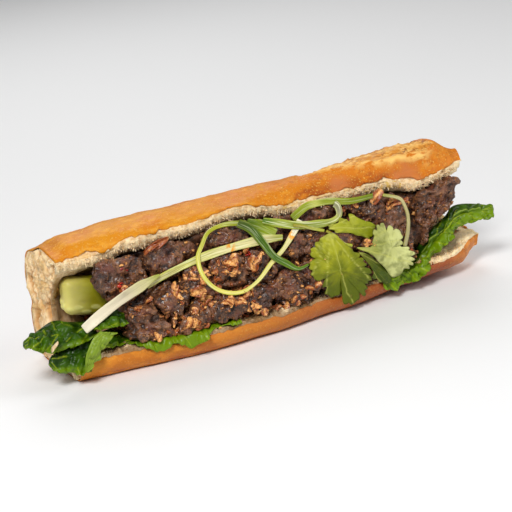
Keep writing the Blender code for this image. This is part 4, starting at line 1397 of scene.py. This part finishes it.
CORIANDER_PLANE = -36.0
CORIANDER_RINGS = 16
CORIANDER_THICKNESS = 0.35

look = Finish("coriander leaf", {"Specular IOR Level": 0.22})
blotches = look.mottle(6, 3)
shaded = look.coats(
    look.painted("tint", "Color"),
    ((0.085, 0.105, 0.002), blotches.between(0.46, 0.68) * 0.55),
    ((0.60, 0.60, 0.13), look.painted("vein") * 0.55),
    ((0.06, 0.08, 0.004), look.painted("rim") * 0.25),
)
herb_finish = look.finish(shaded, 0.42 + 0.15 * blotches, look.mottle(0.9, 3), 0.2)


def make_leaflet(name, joint, outline, near_end, far_end, main_vein, dome, nodes, seed):
    """A leaflet inside its (x, z) outline, coloured from its joint to its far end.

    Veins spread from the joint on both sides of the main one's angle.
    """
    edge = smooth_closed(outline, 3)
    middle = edge.mean(axis=0)
    ring_shares = np.linspace(0, 1, CORIANDER_RINGS + 1)[1:]
    rings = [middle + (edge - middle) * share for share in ring_shares]
    flat = np.concatenate(([middle], *rings))
    count = len(edge)
    near = [list(range(1, 1 + count, max(1, count // 6)))[:6]]
    faces = [(0, 1 + k, 1 + (k + 1) % count) for k in range(count)]
    for ring in range(CORIANDER_RINGS):
        base = 1 + ring * count
        for k in range(count):
            inner = base - count + k if ring else 0
            outer = base + count + k if ring < CORIANDER_RINGS - 1 else base + k
            near.append([base + (k - 1) % count, base + (k + 1) % count, inner, outer, inner, outer])
            if ring < CORIANDER_RINGS - 1:
                following = base + (k + 1) % count
                faces.append((base + k, base + k + count, following + count, following))
    points = np.column_stack((flat[:, 0], np.full(len(flat), CORIANDER_PLANE), flat[:, 1]))
    points = lay(points, np.array(near), 1.3, 200)
    away = flat - np.array(joint)
    distance = np.linalg.norm(away, axis=1)
    angle = np.arctan2(away[:, 1], away[:, 0])
    turned = angle - math.radians(main_vein)
    fan = np.abs(np.sin(turned * 8 + 0.3 * wander(points, 9, seed)))
    fork = np.abs(np.sin(turned * 20 + 1.1 + 0.5 * wander(points, 7, seed + 1))) + 0.1
    vein = 0.5 * ease(1 - fork * distance / 6) * ease(distance / 14)
    vein = np.maximum(ease(1 - fan * distance / 4.5), vein)
    share = np.concatenate(([0], np.repeat(ring_shares, count)))
    lift = dome * (1 - share**2) + 1.1 * wander(points, 9, seed + 2, 2) - 0.45 * vein
    lift += 0.8 * np.cos(turned * 8) * share
    points = points - FACING * lift[:, None]
    leaflet = add_piece(name, points, faces, herb_finish, nodes)
    fade = ease(1.25 * distance / distance.max() + 0.25 * wander(points, 8, seed + 3))
    tint(leaflet, np.array(near_end) + (np.array(far_end) - np.array(near_end)) * fade[:, None])
    paint(leaflet, "vein", vein)
    paint(leaflet, "rim", ease((share - 0.93) / 0.07))
    keep_skin(leaflet)
    thicken(leaflet, CORIANDER_THICKNESS)


BEHIND = (
    (19, 59.1), (20.3, 59.2), (24.2, 58.8), (26.4, 59.1), (27.2, 61.7), (29.7, 60.3), (31.7, 59.6),
    (31.8, 57.7), (33.8, 58.9), (34.2, 60.8), (33.1, 62.5), (35.7, 61.9), (37.6, 60), (40, 58),
    (43, 56), (46.6, 54.3), (49, 52.1), (49.4, 50.8), (47.6, 49.2), (47, 45.9), (44.9, 45.8),
    (44.8, 44.6), (42.7, 45.6), (39.9, 47.5), (36.4, 48.8), (33.9, 50.6), (30.8, 51.6),
    (26.7, 52.6), (23.6, 53.3), (22.7, 55), (19.7, 56.3), (20.1, 57.4),
)
LOW = (
    (36.9, 38.5), (39.6, 34.2), (41.8, 30.7), (43.4, 27.9), (45, 23.9), (43.6, 21.7), (44.9, 19.9),
    (46.8, 19.8), (47.8, 17.4), (50.1, 16.9), (51.3, 15.6), (54.1, 15.3), (55.7, 17.6),
    (54.4, 20.9), (52.8, 23.8), (50.5, 26.8), (48.2, 29.8), (45.3, 32.9), (41.7, 36.2),
)
PALE = (
    (35.6, 41.5), (39.2, 40.4), (43.4, 39.2), (45.1, 40.8), (46.2, 43.1), (47.5, 45.8),
    (46.7, 47.2), (47.7, 49.7), (49.6, 49), (49.8, 51.7), (50.9, 51.9), (51.9, 51), (52.5, 52.3),
    (54.2, 52.2), (54.8, 50.6), (55.3, 47.9), (56, 47.3), (56.8, 49.3), (58.2, 49.8), (60, 48.2),
    (60.3, 46.3), (62, 46.9), (64.3, 45.3), (65.1, 42.9), (66, 40.7), (64.2, 39.6), (65.7, 37.9),
    (65.3, 36.5), (63.6, 36.4), (64.5, 34.7), (60.8, 35.1), (57.4, 34.6), (61.1, 33.5),
    (64.5, 34.2), (68.9, 34.1), (69.5, 32.5), (68.1, 31.8), (71.3, 30.8), (72.8, 29.2),
    (71.3, 28.3), (67.8, 28.5), (71.6, 26.4), (72.1, 25.2), (69.9, 25), (71.1, 23.5), (70.4, 22.3),
    (68, 23.2), (68.1, 20.8), (64.6, 21.7), (63.3, 19.7), (61, 18.3), (59, 18.2), (56.9, 18.2),
    (54.9, 20.2), (53.5, 23.1), (51.2, 26.7), (48.8, 29.3), (47, 32.3), (44.1, 35.5), (41.1, 37.7),
    (38, 39.4),
)
FRONT = (
    (15.7, 52.9), (13.5, 52.2), (12.7, 50.6), (10.7, 50.7), (9.7, 49.1), (10.6, 47.9), (8.3, 48),
    (6.9, 47.3), (7, 45.8), (6.3, 44.5), (7.2, 42.6), (10.2, 41.6), (6.9, 40.6), (5.2, 39.5),
    (5.3, 37.8), (4.4, 36.7), (5, 35.6), (6.5, 34.5), (4.9, 32.6), (6.6, 30.9), (6.9, 29.4),
    (9.6, 27.5), (12.4, 28.6), (13.3, 27.3), (11.3, 23.6), (14.3, 22.6), (12.4, 19.2), (14.6, 17.9),
    (16.2, 15.7), (18.9, 16.1), (21.6, 16), (23.4, 19), (23.5, 14.7), (23.6, 10.4), (25.3, 9.4),
    (27, 9.8), (28.4, 8.4), (30.7, 8.9), (32.5, 10), (34.1, 10.5), (34.6, 14.2), (37.1, 11.3),
    (38.6, 12.5), (38, 14.7), (40.1, 15.4), (38.5, 18.6), (40.6, 18.3), (41, 19.8), (43.2, 19.8),
    (42.8, 22.1), (41.5, 23.7), (43.4, 24.2), (42.6, 27), (39, 28.9), (41, 29.9), (38.9, 32.2),
    (39.5, 33.3), (38.4, 34.8), (36.2, 35.1), (37.5, 36.6), (36.8, 38), (35.3, 38.6), (33.3, 39.6),
    (32.8, 41.2), (31, 43.3), (29.1, 45.2), (27.2, 47.5), (25.3, 49.9), (23.5, 52.3), (20.1, 54.1),
)
STEM_TINTS = ((0, (0.30, 0.26, 0.025)), (1, (0.42, 0.44, 0.04)))
for name, path, width in (
    ("coriander_stem_main", ((0.9, 61), (7.5, 58.7), (13.4, 56), (20, 53.3)), 1.8),
    ("coriander_stem_side", ((21, 53), (25.9, 48.9), (29.3, 45.1), (32.1, 42.3), (36.5, 40.5)), 1.6),
):
    widths = ((0, width), (1, width))
    make_strip(name + "_stalk", path, widths, STEM_TINTS, 0.3, [name], thickness=1.5)
for name, joint, outline, near_end, far_end, main_vein, dome, seed in (
    ("coriander_behind", (19, 57), BEHIND, (0.46, 0.46, 0.04), (0.24, 0.27, 0.006), -12, 0.8, 61),
    ("coriander_low", (37, 38), LOW, (0.14, 0.16, 0.008), (0.05, 0.08, 0.004), -60, 0.8, 66),
    ("coriander_pale", (36, 41), PALE, (0.22, 0.24, 0.01), (0.64, 0.66, 0.26), -26, 1.2, 71),
    ("coriander_front", (20, 53.5), FRONT, (0.42, 0.42, 0.015), (0.105, 0.135, 0.001), -79, 2.0, 76),
):
    make_leaflet(name + "_leaflet", joint, outline, near_end, far_end, main_vein, dome, [name], seed)

SPECKED = [(50.8, 38.8, 1.5, 1.5), (51.2, 36.9, 1, 1), (30.6, 10.6, 2, 1), (20, 30, 9, 9)]
scatter("leaf_specks", 12, 15, SPECKED, (0.35, 0.7), shallot_finish)


# ---- The studio -----------------------------------------------------------------------------------------
# A pale floor, a broad soft light from above on the left, and weaker ones from the right and from behind.

look = Finish("pale floor", {})
floor_tone = look.coats((0.86, 0.86, 0.86), ((0.88, 0.88, 0.88), look.mottle(400, 1)))
floor_finish = look.finish(floor_tone, 0.6)
floor_mesh = bpy.data.meshes.new("floor")
floor_mesh.from_pydata([(-4, -4, 0), (4, -4, 0), (4, 4, 0), (-4, 4, 0)], [], [(0, 1, 2, 3)])
floor_mesh.materials.append(floor_finish)
floor = bpy.data.objects.new("floor", floor_mesh)
bpy.context.scene.collection.objects.link(floor)

world = bpy.data.worlds.new("studio")
world.use_nodes = True
world.node_tree.nodes["Background"].inputs["Color"].default_value = (1, 1, 1, 1)
world.node_tree.nodes["Background"].inputs["Strength"].default_value = 0.16
bpy.context.scene.world = world
bpy.context.scene.view_settings.view_transform = "Standard"

for name, place, size, power in (
    ("key light", (-0.68, -0.95, 1.12), 0.42, 21),
    ("right light", (1.0, -0.5, 0.7), 0.7, 5.5),
    ("back light", (0.1, 0.9, 0.9), 0.8, 6),
):
    lamp = bpy.data.lights.new(name, "AREA")
    lamp.size = size
    lamp.energy = power
    light = bpy.data.objects.new(name, lamp)
    light.location = place
    light.rotation_euler = Vector(place).to_track_quat("Z", "Y").to_euler()
    bpy.context.scene.collection.objects.link(light)

CAMERA_AZIMUTH, CAMERA_ELEVATION, CAMERA_ROLL = (math.radians(angle) for angle in (-22, 18, 6.84))
CAMERA_TARGET = Vector((-12.27, 0, 38.69))
CAMERA_DISTANCE = 1066.36
lens = bpy.data.cameras.new("camera")
lens.lens = 130
lens.sensor_width = 36
camera = bpy.data.objects.new("camera", lens)
bpy.context.scene.collection.objects.link(camera)
level = math.cos(CAMERA_ELEVATION)
away = Vector((
    math.sin(CAMERA_AZIMUTH) * level,
    -math.cos(CAMERA_AZIMUTH) * level,
    math.sin(CAMERA_ELEVATION),
))
right = Vector((math.cos(CAMERA_AZIMUTH), math.sin(CAMERA_AZIMUTH), 0))
up = away.cross(right)
tilted_right = right * math.cos(CAMERA_ROLL) - up * math.sin(CAMERA_ROLL)
tilted_up = right * math.sin(CAMERA_ROLL) + up * math.cos(CAMERA_ROLL)
turned = Matrix((tilted_right, tilted_up, away)).transposed()
camera.matrix_world = Matrix.Translation((CAMERA_TARGET + away * CAMERA_DISTANCE) * MM) @ turned.to_4x4()
lens.clip_start = 0.05
lens.clip_end = 20
bpy.context.scene.camera = camera
